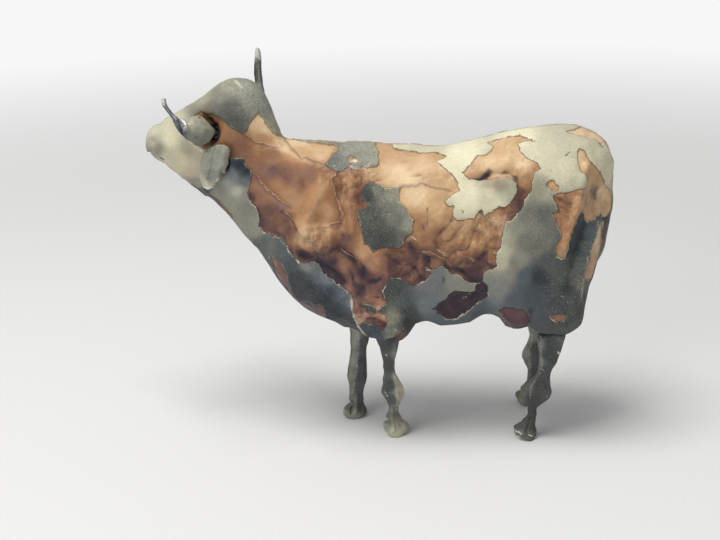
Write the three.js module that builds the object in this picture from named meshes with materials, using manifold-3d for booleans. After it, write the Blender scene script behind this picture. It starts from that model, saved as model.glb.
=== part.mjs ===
// A clay cow figurine. The solid fired clay body, with its head turned to its right, carries cast lead
// legs, horns and ears. Each casting has a spike that is set with plaster in a hole in the clay.
// Millimetres, +Z up. The nose points to -X and the left flank faces -Y.
import * as THREE from 'three';
import Module from 'manifold-3d';

const wasm = await Module();
wasm.setup();

// Driving dimensions of the stance
const legHeight = 23.5; // from the floor to the clay
const legSpacing = 37; // from the front pair of leg holes to the hind pair
const legSpread = 17; // from the left leg holes to the right ones
const frontStagger = 6.6; // the right front hole is this far ahead of the left one

// Driving dimensions of the clay body: lengths run along the cow, depths run up and down
const barrelLength = 60;
const barrelWidth = 28;
const barrelDepth = 37.4;
const chestLength = 28;
const chestWidth = 25;
const chestDepth = 39;
const chestReach = 5.4; // the chest's middle is this far ahead of the front leg holes
const rumpLength = 25;
const rumpWidth = 23.5;
const rumpDepth = 42;
const thighLength = 18.5;
const thighWidth = 11;
const thighDepth = 29;
const shoulderLength = 15;
const shoulderWidth = 11;
const shoulderDepth = 26;
const legStubWidth = 9.2; // the clay lump over each leg
const neckLength = 27.6; // from the middle of its foot in the chest to the middle of the skull
const neckWidth = 15.5;
const neckDepth = 22.5;
const neckRise = 48.5; // degrees over level
const neckSwing = 9.5; // degrees to the cow's right
const skullLength = 18.2;
const skullWidth = 14.6;
const skullDepth = 17.8;
const faceLength = 17.6; // from the middle of the skull to the middle of the muzzle
const muzzleLength = 8;
const muzzleWidth = 9.4;
const muzzleDepth = 8.6;
const headTurn = 26; // degrees to the cow's right
const headNod = 20; // degrees that the face points down
const headTilt = 8; // degrees that the left side of the head is lowered
const dewlapWidth = 3.6;
const dewlapDepth = 9;
const udderWidth = 9.6;
const udderDrop = 2.2; // how far the udder hangs below the clay round it
const tailWidth = 3.6;
const hipBoneWidth = 7;
const spineWidth = 15; // the rounded ridge of the back
const flankHollowLength = 12; // the soft hollow ahead of each thigh
const flankHollowDepth = 15;

// Widths of the fillets where forms of the clay and of the legs run into each other
const massFillet = 6;
const headFillet = 4;
const faceFillet = 3.5;
const reliefFillet = 1.8;
const hollowFillet = 5;
const shankFillet = 0.9;
const hoofFillet = 0.8;
const collarFillet = 1.2; // where the casting is trimmed under the clay

// Driving dimensions of the castings
const kneeWidth = 4.2;
const hoofWidth = 5;
const hoofDepth = 3.4;
const toeSplay = 9; // degrees that each toe turns out
const hornPlugDiameter = 6.4;
const hornPlugLength = 7.6;
const hornDiameter = 1.9;
const hornTipDiameter = 0.9;
const earLength = 9.6;
const earWidth = 6.8;
const earThickness = 0.9;
const earCrease = 0.6; // depth of the fold down the middle of the ear
const earLean = 1.8; // how far ahead of its root the ear's tip hangs
const earRise = 2.7; // how far the ear stands over its spike
const earStand = 0.8; // how far the ear stands off the cheek

// Driving dimensions of the settings
const fitGap = 0.3; // left between any two pieces that touch
const legSpikeDiameter = 2.2;
const legSpikeLength = 9;
const headSpikeDiameter = 1.2;
const headSpikeLength = 3;
const plasterWall = 0.5;
const plasterCap = 0.8; // plaster over the end of each spike
const mouthRecess = 0.5; // the plaster ends this far inside the hole's mouth
const plugRecess = 2; // depth of the wide hollow in the skull that takes a horn's plug
const plugCrevice = 0.55; // open crack round the plug

// How finely each surface is drawn
const clayStep = 1.9;
const castingStep = 0.95;
const latticeMargin = 1.5; // empty steps round a piece
const roundSides = 12;

const vec = (x, y, z) => new THREE.Vector3(x, y, z);
const turn = (x, y, z) => new THREE.Euler(...[x, y, z].map(THREE.MathUtils.degToRad), 'ZYX');
const bothSides = (make) => [-1, 1].flatMap(make);

// A field gives the distance from a point to a surface, and is negative inside. Its box holds it all.
const boxed = (field, box) => Object.assign(field, { box });

// A lump is an ellipsoid, given by its full length, width and depth, with a turn of its own.
function lump(middle, [length, width, depth], turned = turn(0, 0, 0)) {
  const frame = new THREE.Matrix4().makeRotationFromEuler(turned).setPosition(middle);
  const inward = frame.clone().invert();
  const radii = vec(length / 2, width / 2, depth / 2);
  const p = vec(0, 0, 0);
  const field = (at) => {
    p.copy(at).applyMatrix4(inward).divide(radii);
    const reach = p.length();
    const slope = p.divide(radii).length();
    return slope < 1e-9 ? -Math.min(...radii.toArray()) : (reach * (reach - 1)) / slope;
  };
  const box = new THREE.Box3(radii.clone().negate(), radii.clone());
  return boxed(field, box.applyMatrix4(frame));
}

// A tapered roll between two points. Its width is the given share of its depth.
function roll(from, to, fromDepth, toDepth, share = 1) {
  const line = new THREE.Line3(from, to);
  const near = vec(0, 0, 0);
  const field = (at) => {
    const along = line.closestPointToPointParameter(at, true);
    line.at(along, near);
    const away = Math.hypot(at.x - near.x, (at.y - near.y) / share, at.z - near.z);
    return (away - THREE.MathUtils.lerp(fromDepth, toDepth, along) / 2) * share;
  };
  const box = new THREE.Box3().setFromPoints([from, to]);
  return boxed(field, box.expandByScalar((Math.max(fromDepth, toDepth) * Math.max(share, 1)) / 2));
}

// Rolls end to end through stations of [point, depth]
const chain = (stations, share = 1) =>
  stations.slice(1).map(([at, depth], n) => roll(stations[n][0], at, stations[n][1], depth, share));

function softMin(a, b, blend) {
  const overlap = Math.max(blend - Math.abs(a - b), 0) / blend;
  return Math.min(a, b) - (overlap * overlap * blend) / 4;
}

// Joins fields with a fillet about as wide as the blend
function joined(fields, blend) {
  const field = (at) => fields.reduce((least, other) => softMin(least, other(at), blend), Infinity);
  const box = fields.reduce((whole, other) => whole.union(other.box), new THREE.Box3());
  return boxed(field, box.expandByScalar(blend / 2));
}

// Presses a second field into the first, with the same kind of fillet
const pressed = (field, tool, blend) =>
  boxed((at) => -softMin(-field(at), tool(at), blend), field.box);

// Places each lattice cell's vertex on the surface, without letting it stray far from the cell
function settled(field, at, step) {
  const reach = 0.02;
  const home = at.clone();
  for (let pass = 0; pass < 3; pass += 1) {
    const slope = vec(0, 0, 0);
    for (const axis of ['x', 'y', 'z']) {
      const ahead = at.clone();
      const behind = at.clone();
      ahead[axis] += reach;
      behind[axis] -= reach;
      slope[axis] = (field(ahead) - field(behind)) / (2 * reach);
    }
    at.addScaledVector(slope, -field(at) / Math.max(slope.lengthSq(), 0.05));
  }
  return home.add(at.sub(home).clampLength(0, step * 0.35));
}

// A lattice square with two opposite corners inside would pinch the surface, so it is filled
function unpinch(value, [nx, ny, nz]) {
  const strides = [1, nx, nx * ny];
  let pinches = 0;
  for (let n = 0; n < nx * ny * (nz - 1) - nx - 1; n += 1) {
    for (const axis of [0, 1, 2]) {
      const [u, v] = [strides[axis], strides[(axis + 1) % 3]];
      const square = [n, n + u, n + u + v, n + v];
      const [a, b, c, d] = square.map((corner) => value[corner] < 0);
      if (a !== c || b !== d || a === b) continue;
      for (const corner of square) value[corner] = Math.min(value[corner], -1e-3);
      pinches += 1;
    }
  }
  if (pinches > 0) unpinch(value, [nx, ny, nz]);
}

// Turns a field into a closed surface: one vertex in each lattice cell that the surface passes
// through, and a four-sided face across each lattice edge that it cuts.
function skin(field, step) {
  const box = field.box.clone().expandByScalar(latticeMargin * step);
  const [nx, ny, nz] = box.getSize(vec(0, 0, 0)).divideScalar(step).ceil().addScalar(2).toArray();
  const index = (i, j, k) => (k * ny + j) * nx + i;
  const spot = (i, j, k) => vec(i, j, k).multiplyScalar(step).add(box.min);
  const value = new Float32Array(nx * ny * nz);
  for (let k = 0; k < nz; k += 1) {
    for (let j = 0; j < ny; j += 1) {
      for (let i = 0; i < nx; i += 1) value[index(i, j, k)] = field(spot(i, j, k));
    }
  }
  unpinch(value, [nx, ny, nz]);
  const corners = [0, 1, 2, 3, 4, 5, 6, 7].map((n) => [n & 1, (n >> 1) & 1, n >> 2]);
  const edges = corners.flatMap((from, m) =>
    corners.filter((_, n) => n > m && [1, 2, 4].includes(n ^ m)).map((to) => [from, to]),
  );
  const places = [];
  const placeOf = new Map();
  const place = (i, j, k) => {
    const middle = vec(0, 0, 0);
    let cuts = 0;
    for (const [[a, b, c], [d, e, f]] of edges) {
      const here = value[index(i + a, j + b, k + c)];
      const there = value[index(i + d, j + e, k + f)];
      if (here < 0 === there < 0) continue;
      middle.add(spot(i + a, j + b, k + c).lerp(spot(i + d, j + e, k + f), here / (here - there)));
      cuts += 1;
    }
    if (cuts === 0) return;
    placeOf.set(index(i, j, k), places.length);
    places.push(settled(field, middle.divideScalar(cuts), step));
  };
  for (let k = 0; k < nz - 1; k += 1) {
    for (let j = 0; j < ny - 1; j += 1) {
      for (let i = 0; i < nx - 1; i += 1) place(i, j, k);
    }
  }
  const faces = [];
  const axes = [[1, 0, 0], [0, 1, 0], [0, 0, 1]];
  const face = (i, j, k, n) => {
    const inside = value[index(i, j, k)] < 0;
    if (inside === value[index(i + axes[n][0], j + axes[n][1], k + axes[n][2])] < 0) return;
    const [u, v] = [axes[(n + 1) % 3], axes[(n + 2) % 3]];
    const ring = [[0, 0], [1, 0], [1, 1], [0, 1]].map(([s, t]) =>
      placeOf.get(index(i - s * u[0] - t * v[0], j - s * u[1] - t * v[1], k - s * u[2] - t * v[2])),
    );
    const [a, b, c, d] = inside ? ring : ring.reverse();
    const cutAC = places[a].distanceTo(places[c]) <= places[b].distanceTo(places[d]);
    faces.push(...(cutAC ? [a, b, c, a, c, d] : [a, b, d, b, c, d]));
  };
  for (let k = 1; k < nz - 1; k += 1) {
    for (let j = 1; j < ny - 1; j += 1) {
      for (let i = 1; i < nx - 1; i += 1) [0, 1, 2].forEach((n) => face(i, j, k, n));
    }
  }
  return new THREE.BufferGeometry().setFromPoints(places).setIndex(faces);
}

// A closed piece through rings of points, each ring with as many points as the others
function loft(rings) {
  const sides = rings[0].length;
  const middle = (ring) => ring.reduce((sum, p) => sum.add(p), vec(0, 0, 0)).divideScalar(sides);
  const points = [...rings.flat(), middle(rings[0]), middle(rings.at(-1))];
  const last = (rings.length - 1) * sides;
  const faces = [];
  for (let s = 0; s < sides; s += 1) {
    const next = (s + 1) % sides;
    faces.push(points.length - 2, next, s, points.length - 1, last + s, last + next);
    for (let a = 0; a < last; a += sides) {
      faces.push(a + s, a + next, a + sides + next, a + s, a + sides + next, a + sides + s);
    }
  }
  return new THREE.BufferGeometry().setFromPoints(points).setIndex(faces);
}

// A turned piece, from a profile of [radius, height] that runs round it from axis to axis
function turnedPiece(profile, from, direction) {
  const facing = new THREE.Quaternion().setFromUnitVectors(vec(0, 0, 1), direction);
  const ring = ([radius, height]) =>
    Array.from({ length: roundSides }, (_, n) => {
      const angle = (2 * Math.PI * n) / roundSides;
      return vec(radius * Math.cos(angle), radius * Math.sin(angle), height);
    });
  return loft(profile.map(ring)).applyQuaternion(facing).translate(...from.toArray());
}

const rod = (from, direction, diameter, length) =>
  turnedPiece([[diameter / 2, 0], [diameter / 2, length]], from, direction);

// A tapered casting bent through stations of [point, diameter]
function bentPiece(stations) {
  const path = new THREE.CatmullRomCurve3(stations.map(([at]) => at), false, 'centripetal');
  const steps = 4 * (stations.length - 1);
  const { normals, binormals } = path.computeFrenetFrames(steps, false);
  const rings = Array.from({ length: steps + 1 }, (_, n) => {
    const share = path.getUtoTmapping(n / steps) * (stations.length - 1);
    const from = Math.min(Math.floor(share), stations.length - 2);
    const diameter = THREE.MathUtils.lerp(stations[from][1], stations[from + 1][1], share - from);
    return Array.from({ length: roundSides }, (_, s) => {
      const angle = (2 * Math.PI * s) / roundSides;
      return path
        .getPointAt(n / steps)
        .addScaledVector(normals[n], (diameter / 2) * Math.cos(angle))
        .addScaledVector(binormals[n], (diameter / 2) * Math.sin(angle));
    });
  });
  return loft(rings);
}

// Solids, which can be joined and cut
function solid(geometry) {
  return new wasm.Manifold(
    new wasm.Mesh({
      numProp: 3,
      vertProperties: Float32Array.from(geometry.attributes.position.array),
      triVerts: Uint32Array.from(geometry.index.array),
    }),
  );
}

function geometryOf(made) {
  const mesh = made.getMesh();
  const geometry = new THREE.BufferGeometry();
  geometry.setAttribute('position', new THREE.BufferAttribute(mesh.vertProperties, 3));
  geometry.setIndex(new THREE.BufferAttribute(mesh.triVerts, 1));
  return geometry;
}

// The point where a line that starts in the clay comes out of it
function wayOut(field, from, direction) {
  const at = from.clone();
  while (field(at) < 0) at.addScaledVector(direction, 0.02);
  return at;
}

// The hole for a spike, and the plaster that fills the room round the spike
function setting(mouth, inward, spikeDiameter, spikeLength) {
  const inside = spikeDiameter / 2 + fitGap;
  const outside = inside + plasterWall;
  const roof = spikeLength + fitGap;
  const end = roof + plasterCap;
  const cup = [[inside, roof], [inside, mouthRecess], [outside, mouthRecess], [outside, end]];
  const overshoot = outside;
  const holeFrom = mouth.clone().addScaledVector(inward, -overshoot);
  return {
    hole: solid(rod(holeFrom, inward, 2 * (outside + fitGap), overshoot + end + fitGap)),
    plaster: turnedPiece(cup, mouth, inward),
  };
}

// Landmarks of the clay body
const frontHoles = -legSpacing / 2;
const hindHoles = legSpacing / 2;
const holes = {
  left_front_leg: vec(frontHoles + frontStagger / 2, -legSpread / 2, legHeight),
  right_front_leg: vec(frontHoles - frontStagger / 2, legSpread / 2, legHeight),
  left_hind_leg: vec(hindHoles, -legSpread / 2, legHeight),
  right_hind_leg: vec(hindHoles, legSpread / 2, legHeight),
};
const barrelMiddle = vec(-barrelLength * 0.06, 0, legHeight + barrelDepth / 2);
const backTop = barrelMiddle.z + barrelDepth / 2;
const chestMiddle = vec(frontHoles - chestReach, 0, legHeight + chestDepth * 0.48);
const rumpMiddle = vec(hindHoles - rumpLength * 0.04, 0, legHeight + rumpDepth * 0.47);
const rumpTop = legHeight + rumpDepth;
const rumpBack = rumpMiddle.x + rumpLength / 2;

const headTurned = turn(headTilt, -headNod, -headTurn);
const neckFoot = chestMiddle.clone().add(vec(-chestLength * 0.21, 0, chestDepth * 0.09));
const skullMiddle = vec(-neckLength, 0, 0).applyEuler(turn(0, neckRise, -neckSwing)).add(neckFoot);
const headFrame = new THREE.Matrix4().makeRotationFromEuler(headTurned).setPosition(skullMiddle);
const inHead = (ahead, left, up) => vec(-ahead, -left, up).applyMatrix4(headFrame);
const alongHead = (ahead, left, up) => vec(-ahead, -left, up).transformDirection(headFrame);

function trunk() {
  const barrel = lump(barrelMiddle, [barrelLength, barrelWidth, barrelDepth]);
  const chest = lump(chestMiddle, [chestLength, chestWidth, chestDepth], turn(0, -8, 0));
  const rump = lump(rumpMiddle, [rumpLength * 0.96, rumpWidth, rumpDepth * 0.97], turn(0, 11, 0));
  const croupDepth = rumpDepth * 0.38;
  const croupFrom = vec(rumpMiddle.x - rumpLength * 0.2, 0, rumpTop - croupDepth * 0.54);
  const croupTo = vec(rumpBack - croupDepth * 0.43, 0, rumpTop - croupDepth * 0.5);
  const croup = roll(croupFrom, croupTo, croupDepth, croupDepth, (rumpWidth * 0.86) / croupDepth);
  const spineFrom = vec(neckFoot.x - chestLength * 0.02, 0, backTop - spineWidth * 0.5);
  const spineTo = vec(rumpMiddle.x, 0, backTop - spineWidth * 0.54);
  const spine = roll(spineFrom, spineTo, spineWidth, spineWidth);
  const nape = inHead(-skullLength * 0.06, 0, -skullDepth * 0.56);
  const neck = roll(neckFoot, nape, neckDepth * 1.15, neckDepth * 0.84, neckWidth / neckDepth);
  return [barrel, chest, rump, croup, spine, neck];
}

function haunchesAndShoulders() {
  return bothSides((side) => {
    const across = (width, whole) => side * (whole - width) * 0.5;
    const thighAt = vec(hindHoles, across(thighWidth, rumpWidth * 1.17), 0);
    const shoulderAt = vec(frontHoles + shoulderLength * 0.1, across(shoulderWidth, chestWidth * 1.04), 0);
    thighAt.z = legHeight + thighDepth * 0.44;
    shoulderAt.z = legHeight + shoulderDepth * 0.46;
    return [
      lump(thighAt, [thighLength, thighWidth, thighDepth], turn(0, 12, 0)),
      lump(shoulderAt, [shoulderLength, shoulderWidth, shoulderDepth], turn(0, -14, 0)),
    ];
  });
}

function legStubs() {
  return Object.values(holes).map((hole) => {
    const middle = hole.clone().add(vec(0, 0, legStubWidth * 0.5));
    return lump(middle, [legStubWidth, legStubWidth * 0.86, legStubWidth]);
  });
}

function head() {
  const skull = lump(inHead(0, 0, 0), [skullLength, skullWidth, skullDepth], headTurned);
  const brow = inHead(faceLength * 0.2, 0, skullDepth * 0.02);
  const face = roll(brow, inHead(faceLength, 0, 0), skullDepth * 0.88, muzzleDepth * 0.98, 0.84);
  const muzzle = lump(inHead(faceLength, 0, 0), [muzzleLength, muzzleWidth, muzzleDepth], headTurned);
  const jawFrom = inHead(skullLength * 0.11, 0, -skullDepth * 0.37);
  const jawTo = inHead(faceLength * 0.75, 0, -muzzleDepth * 0.37);
  const jaw = roll(jawFrom, jawTo, skullDepth * 0.7, muzzleDepth * 0.9, 0.8);
  return joined([skull, face, muzzle, jaw], faceFillet);
}

// The dewlap hangs like a keel from the throat to the brisket
function dewlap() {
  const brisket = chestMiddle.clone().add(vec(0, 0, -chestDepth / 2));
  const throat = inHead(faceLength * 0.55, 0, -skullDepth * 0.42);
  const gullet = neckFoot.clone().add(vec(-neckDepth * 0.56, 0, neckDepth * 0.13));
  const hang = [
    [throat, 1],
    [gullet, 1],
    [brisket.clone().add(vec(-chestLength * 0.43, 0, chestDepth * 0.44)), 1],
    [brisket.clone().add(vec(-chestLength * 0.2, 0, chestDepth * 0.24)), 0.95],
    [brisket.clone().add(vec(chestLength * 0.07, 0, chestDepth * 0.14)), 0.7],
  ];
  const keel = chain(hang.map(([at, share]) => [at, dewlapDepth * share]), dewlapWidth / dewlapDepth);
  return [...keel, roll(throat, gullet, dewlapDepth, dewlapDepth * 0.8, neckWidth / neckDepth)];
}

// The tail is modelled in relief down the middle of the rump
function tail() {
  const at = (ahead, drop) => vec(rumpBack - ahead * rumpLength, 0, rumpTop - drop * rumpDepth);
  return chain([
    [at(0.2, 0.095), tailWidth * 1.4],
    [at(0.01, 0.21), tailWidth * 1.1],
    [at(0.02, 0.38), tailWidth],
    [at(0.08, 0.61), tailWidth],
    [at(0.17, 0.83), tailWidth],
    [at(0.26, 0.96), tailWidth * 1.2],
  ]);
}

function clayField() {
  const udderAt = vec(hindHoles - rumpLength * 0.28, 0, legHeight - udderDrop + udderWidth * 0.4);
  const udder = lump(udderAt, [udderWidth, udderWidth, udderWidth * 0.8]);
  const hipBones = bothSides((side) => {
    const at = vec(rumpMiddle.x - rumpLength * 0.26, side * rumpWidth * 0.36, rumpTop - rumpDepth * 0.2);
    return lump(at, [hipBoneWidth * 1.3, hipBoneWidth * 0.8, hipBoneWidth * 0.65]);
  });
  const mass = joined([...trunk(), ...haunchesAndShoulders(), ...legStubs()], massFillet);
  const figure = joined([mass, head(), ...hipBones], headFillet);
  const whole = joined([figure, udder, ...dewlap(), ...tail()], reliefFillet);
  const hollows = bothSides((side) => {
    const at = vec(rumpMiddle.x - rumpLength * 0.45, side * barrelWidth * 0.56, barrelMiddle.z);
    at.z += barrelDepth * 0.12;
    return lump(at, [flankHollowLength, barrelWidth * 0.16, flankHollowDepth], turn(0, -22, 0));
  });
  return hollows.reduce((field, hollow) => pressed(field, hollow, hollowFillet), whole);
}

const clay = clayField();

function clayBody(cuts) {
  return geometryOf(cuts.reduce((made, cut) => made.subtract(cut), solid(skin(clay, clayStep))));
}

// Each leg from its top down: height as a share of the leg's height, then its shift towards the tail
// and its width, as shares of the knee's width
const legShapes = {
  left_front_leg: [
    [1.06, 0, 1.24], [0.95, 0, 1.05], [0.84, 0, 0.76], [0.68, 0, 0.54], [0.58, -0.05, 0.66],
    [0.43, 0, 1], [0.33, 0, 0.7], [0.22, 0, 0.46],
  ],
  right_front_leg: [
    [1.06, 0, 1.2], [0.9, 0, 1], [0.7, 0, 0.84], [0.5, -0.05, 0.86], [0.36, 0, 0.94], [0.24, 0, 0.62],
  ],
  left_hind_leg: [
    [1.06, 0, 1.62], [0.95, 0, 1.58], [0.88, 0, 1.33], [0.72, 0.15, 0.83], [0.62, 0.15, 0.69],
    [0.5, 0.17, 1], [0.4, 0.11, 0.96], [0.28, 0, 0.5], [0.2, 0.06, 0.5],
  ],
  right_hind_leg: [
    [1.06, -0.05, 1.56], [0.9, -0.2, 1.4], [0.74, -0.3, 1.24], [0.56, -0.3, 1.22], [0.39, 0, 0.88],
    [0.25, 0.13, 0.84],
  ],
};

// How far each hoof is from the point under its leg's hole, towards the tail and to the right, and
// the degrees that it toes out
const hoofPlaces = {
  left_front_leg: { aft: 1.3, right: 2.2, toeOut: 8 },
  right_front_leg: { aft: -1.6, right: -5.6, toeOut: 0 },
  left_hind_leg: { aft: -4.5, right: 0.5, toeOut: 6 },
  right_hind_leg: { aft: -4.3, right: 1.4, toeOut: -4 },
};

function hoof(foot, toeOut) {
  const place = (ahead, right, up) =>
    vec(-ahead, right, up).multiplyScalar(hoofWidth).applyEuler(turn(0, 0, toeOut)).add(foot);
  const toes = bothSides((side) => {
    const splay = turn(0, -12, toeOut - side * toeSplay);
    return [lump(place(0.2, side * 0.25, 0.2), [hoofWidth * 0.86, hoofWidth * 0.5, hoofDepth], splay)];
  });
  const heel = lump(place(-0.2, 0, 0.28), [hoofWidth * 0.55, hoofWidth * 0.7, hoofDepth * 0.8]);
  return [...toes, heel];
}

function leg(name) {
  const hole = holes[name];
  const { aft, right, toeOut } = hoofPlaces[name];
  const foot = vec(hole.x + aft, hole.y + right, 0);
  const stations = legShapes[name].map(([height, shift, width]) => [
    foot.clone().lerp(hole, height).add(vec(shift * kneeWidth, 0, 0)),
    width * kneeWidth,
  ]);
  const ankle = stations.at(-1);
  const pastern = roll(ankle[0], foot.clone().setZ(hoofDepth * 0.5), ankle[1], hoofWidth * 0.6);
  const shank = joined([...chain(stations), pastern], shankFillet);
  const shape = joined([shank, ...hoof(foot, toeOut)], hoofFillet);
  const belowClay = pressed(shape, (at) => clay(at) - fitGap, collarFillet);
  const up = vec(0, 0, 1);
  const mouth = wayOut(clay, hole.clone().setZ(legHeight + legStubWidth / 2), vec(0, 0, -1));
  const rooted = legHeight * 0.1;
  const spikeFrom = mouth.clone().setZ(mouth.z - fitGap - rooted);
  const spike = solid(rod(spikeFrom, up, legSpikeDiameter, rooted + fitGap + legSpikeLength));
  const floor = solid(rod(foot.clone().setZ(-legHeight), up, 2 * legHeight, legHeight));
  const casting = solid(skin(belowClay, castingStep)).add(spike).subtract(floor);
  return { casting, ...setting(mouth, up, legSpikeDiameter, legSpikeLength) };
}

// Each horn's plug lies along a line that leaves the middle plane of the skull at a point ahead of
// and over its middle. The bends are points ahead, outward and over. All are shares of the skull's
// depth. The right horn is bent back.
const hornShapes = {
  left_horn: {
    from: [-0.085, -0.175],
    aim: vec(0.26, 0.84, 0.48),
    bends: [
      [0.18, 0.75, 0.21], [0.18, 0.75, 0.34], [0.21, 0.74, 0.47], [0.22, 0.71, 0.56], [0.21, 0.68, 0.61],
    ],
  },
  right_horn: {
    from: [-0.1, -0.07],
    aim: vec(0.22, 0.92, 0.24),
    bends: [[0.07, 0.78, 0.1], [0.01, 0.82, 0.2], [-0.07, 0.86, 0.42], [-0.14, 0.9, 0.64]],
  },
};

function horn(name) {
  const side = name.startsWith('left') ? 1 : -1;
  const { from, aim, bends } = hornShapes[name];
  const outward = alongHead(aim.x, side * aim.y, aim.z);
  const root = wayOut(clay, inHead(from[0] * skullDepth, 0, from[1] * skullDepth), outward);
  const recessFloor = root.clone().addScaledVector(outward, -plugRecess);
  const plugFrom = recessFloor.clone().addScaledVector(outward, fitGap);
  const radius = hornPlugDiameter / 2;
  const profile = [
    [radius * 0.9, 0], [radius, hornPlugLength * 0.1], [radius * 0.97, hornPlugLength * 0.4],
    [radius * 0.75, hornPlugLength * 0.75], [radius * 0.42, hornPlugLength],
  ];
  const plug = solid(turnedPiece(profile, plugFrom, outward));
  const start = plugFrom.clone().addScaledVector(outward, hornPlugLength * 0.85);
  const points = bends.map((share) => {
    const [ahead, out, over] = share.map((part) => part * skullDepth);
    return inHead(ahead, side * out, over);
  });
  points.unshift(start);
  const taper = (n) => THREE.MathUtils.lerp(hornDiameter, hornTipDiameter, n / (points.length - 1));
  const prong = solid(bentPiece(points.map((at, n) => [at, taper(n)])));

  const inward = outward.clone().negate();
  const rooted = hornPlugLength * 0.2;
  const spikeFrom = plugFrom.clone().addScaledVector(outward, rooted);
  const spike = solid(rod(spikeFrom, inward, headSpikeDiameter, rooted + fitGap + headSpikeLength));
  const bed = setting(recessFloor, inward, headSpikeDiameter, headSpikeLength);
  const recess = solid(rod(recessFloor, outward, hornPlugDiameter + 2 * plugCrevice, 3 * plugRecess));
  return { casting: plug.add(prong).add(spike), hole: bed.hole.add(recess), plaster: bed.plaster };
}

// An ear is a creased leaf that hangs on its spike. The spike lies along a line like a plug's.
const earSpikes = {
  left_ear: { from: [0.01, -0.43], aim: vec(0.08, 0.97, 0.22) },
  right_ear: { from: [-0.02, -0.43], aim: vec(0.04, 0.97, 0.22) },
};
// Down the ear: drop as a share of its length, width as a share of its width
const earShape = [[0, 0.78], [0.05, 0.96], [0.3, 1], [0.55, 0.86], [0.78, 0.56], [0.93, 0.34], [1, 0.12]];

function ear(name) {
  const side = name.startsWith('left') ? 1 : -1;
  const { from, aim } = earSpikes[name];
  const outward = alongHead(aim.x, side * aim.y, aim.z);
  const mouth = wayOut(clay, inHead(from[0] * skullDepth, 0, from[1] * skullDepth), outward);
  const lie = vec(outward.x, outward.y, 0).normalize();
  const ahead = vec(side * lie.y, -side * lie.x, 0);
  const root = mouth.clone().addScaledVector(outward, earStand);
  const rings = earShape.map(([drop, width]) => {
    const middle = root.clone().addScaledVector(lie, drop * earThickness * 0.5);
    middle.z += earRise - drop * earLength;
    middle.addScaledVector(ahead, drop * earLean);
    const at = (across, out) =>
      middle.clone().addScaledVector(ahead, across * width * earWidth * 0.5).addScaledVector(lie, out);
    const crease = earCrease * width;
    const inner = [at(-1, 0), at(0, crease), at(1, 0)];
    const outer = [at(0.9, earThickness), at(0, earThickness + crease), at(-0.9, earThickness)];
    const ring = [...inner, ...outer];
    return side > 0 ? ring.reverse() : ring;
  });
  const leaf = solid(loft(rings));
  const inward = outward.clone().negate();
  const rooted = earCrease + earThickness / 2;
  const spikeFrom = root.clone().addScaledVector(outward, rooted);
  const spike = solid(rod(spikeFrom, inward, headSpikeDiameter, rooted + earStand + headSpikeLength));
  const bed = setting(mouth, inward, headSpikeDiameter, headSpikeLength);
  return { casting: leaf.add(spike), hole: bed.hole, plaster: bed.plaster };
}

const finishes = {
  clay: { color: '#8d7358', roughness: 0.75, metalness: 0 },
  lead: { color: '#55564f', roughness: 0.5, metalness: 0.6 },
  plaster: { color: '#d9d2c3', roughness: 0.95, metalness: 0 },
};

function piece(name, geometry, finish) {
  const mesh = new THREE.Mesh(geometry, new THREE.MeshStandardMaterial(finishes[finish]));
  mesh.name = name;
  return mesh;
}

const cow = new THREE.Group();
const made = {};
for (const name of Object.keys(holes)) made[name] = leg(name);
for (const name of Object.keys(hornShapes)) made[name] = horn(name);
for (const name of Object.keys(earSpikes)) made[name] = ear(name);
cow.add(piece('clay_body', clayBody(Object.values(made).map((parts) => parts.hole)), 'clay'));
for (const [name, parts] of Object.entries(made)) {
  const set = new THREE.Group();
  set.add(piece(name, geometryOf(parts.casting), 'lead'));
  set.add(piece(`${name}_plaster`, parts.plaster, 'plaster'));
  cow.add(set);
}

// The origin is on the floor under the middle of the whole cow
const middle = new THREE.Box3().setFromObject(cow).getCenter(vec(0, 0, 0));
cow.position.set(-middle.x, -middle.y, 0);

export default cow;
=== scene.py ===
import math

import bpy
import numpy as np
from mathutils import Matrix, Vector, noise


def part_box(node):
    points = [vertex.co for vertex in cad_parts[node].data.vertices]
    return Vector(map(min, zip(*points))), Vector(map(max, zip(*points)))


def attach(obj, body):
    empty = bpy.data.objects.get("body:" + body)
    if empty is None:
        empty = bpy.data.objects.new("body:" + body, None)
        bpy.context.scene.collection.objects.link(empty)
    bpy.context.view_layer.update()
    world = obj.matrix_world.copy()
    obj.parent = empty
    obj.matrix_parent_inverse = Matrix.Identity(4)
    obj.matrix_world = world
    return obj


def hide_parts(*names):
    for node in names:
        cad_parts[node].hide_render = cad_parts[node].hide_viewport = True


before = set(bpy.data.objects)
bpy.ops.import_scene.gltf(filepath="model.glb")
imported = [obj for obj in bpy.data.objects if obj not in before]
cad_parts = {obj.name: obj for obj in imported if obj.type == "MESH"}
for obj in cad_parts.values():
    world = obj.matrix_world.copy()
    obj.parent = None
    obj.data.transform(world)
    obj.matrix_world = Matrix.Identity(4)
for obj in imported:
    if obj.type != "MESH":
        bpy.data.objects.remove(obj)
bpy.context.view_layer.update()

mm = 0.001
bodyLow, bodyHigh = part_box("clay_body")
noise.seed_set(5)  # without a seed, noise_vector would change with the clock

# The camera, and where a point lands in the photo

cameraSetup = {
    "aim": (46.4, 14.58, 13.83),  # mm from the clay body's lowest corner
    "azimuth": 4.0,
    "elevation": 18.0,
    "roll": -1.5,
    "distance": 300 * mm,
    "lens": 70.5,
    "sensor": 36.0,
    "imageSize": (720, 540),
    "clipFrom": 10 * mm,
    "clipTo": 20,
}


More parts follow.
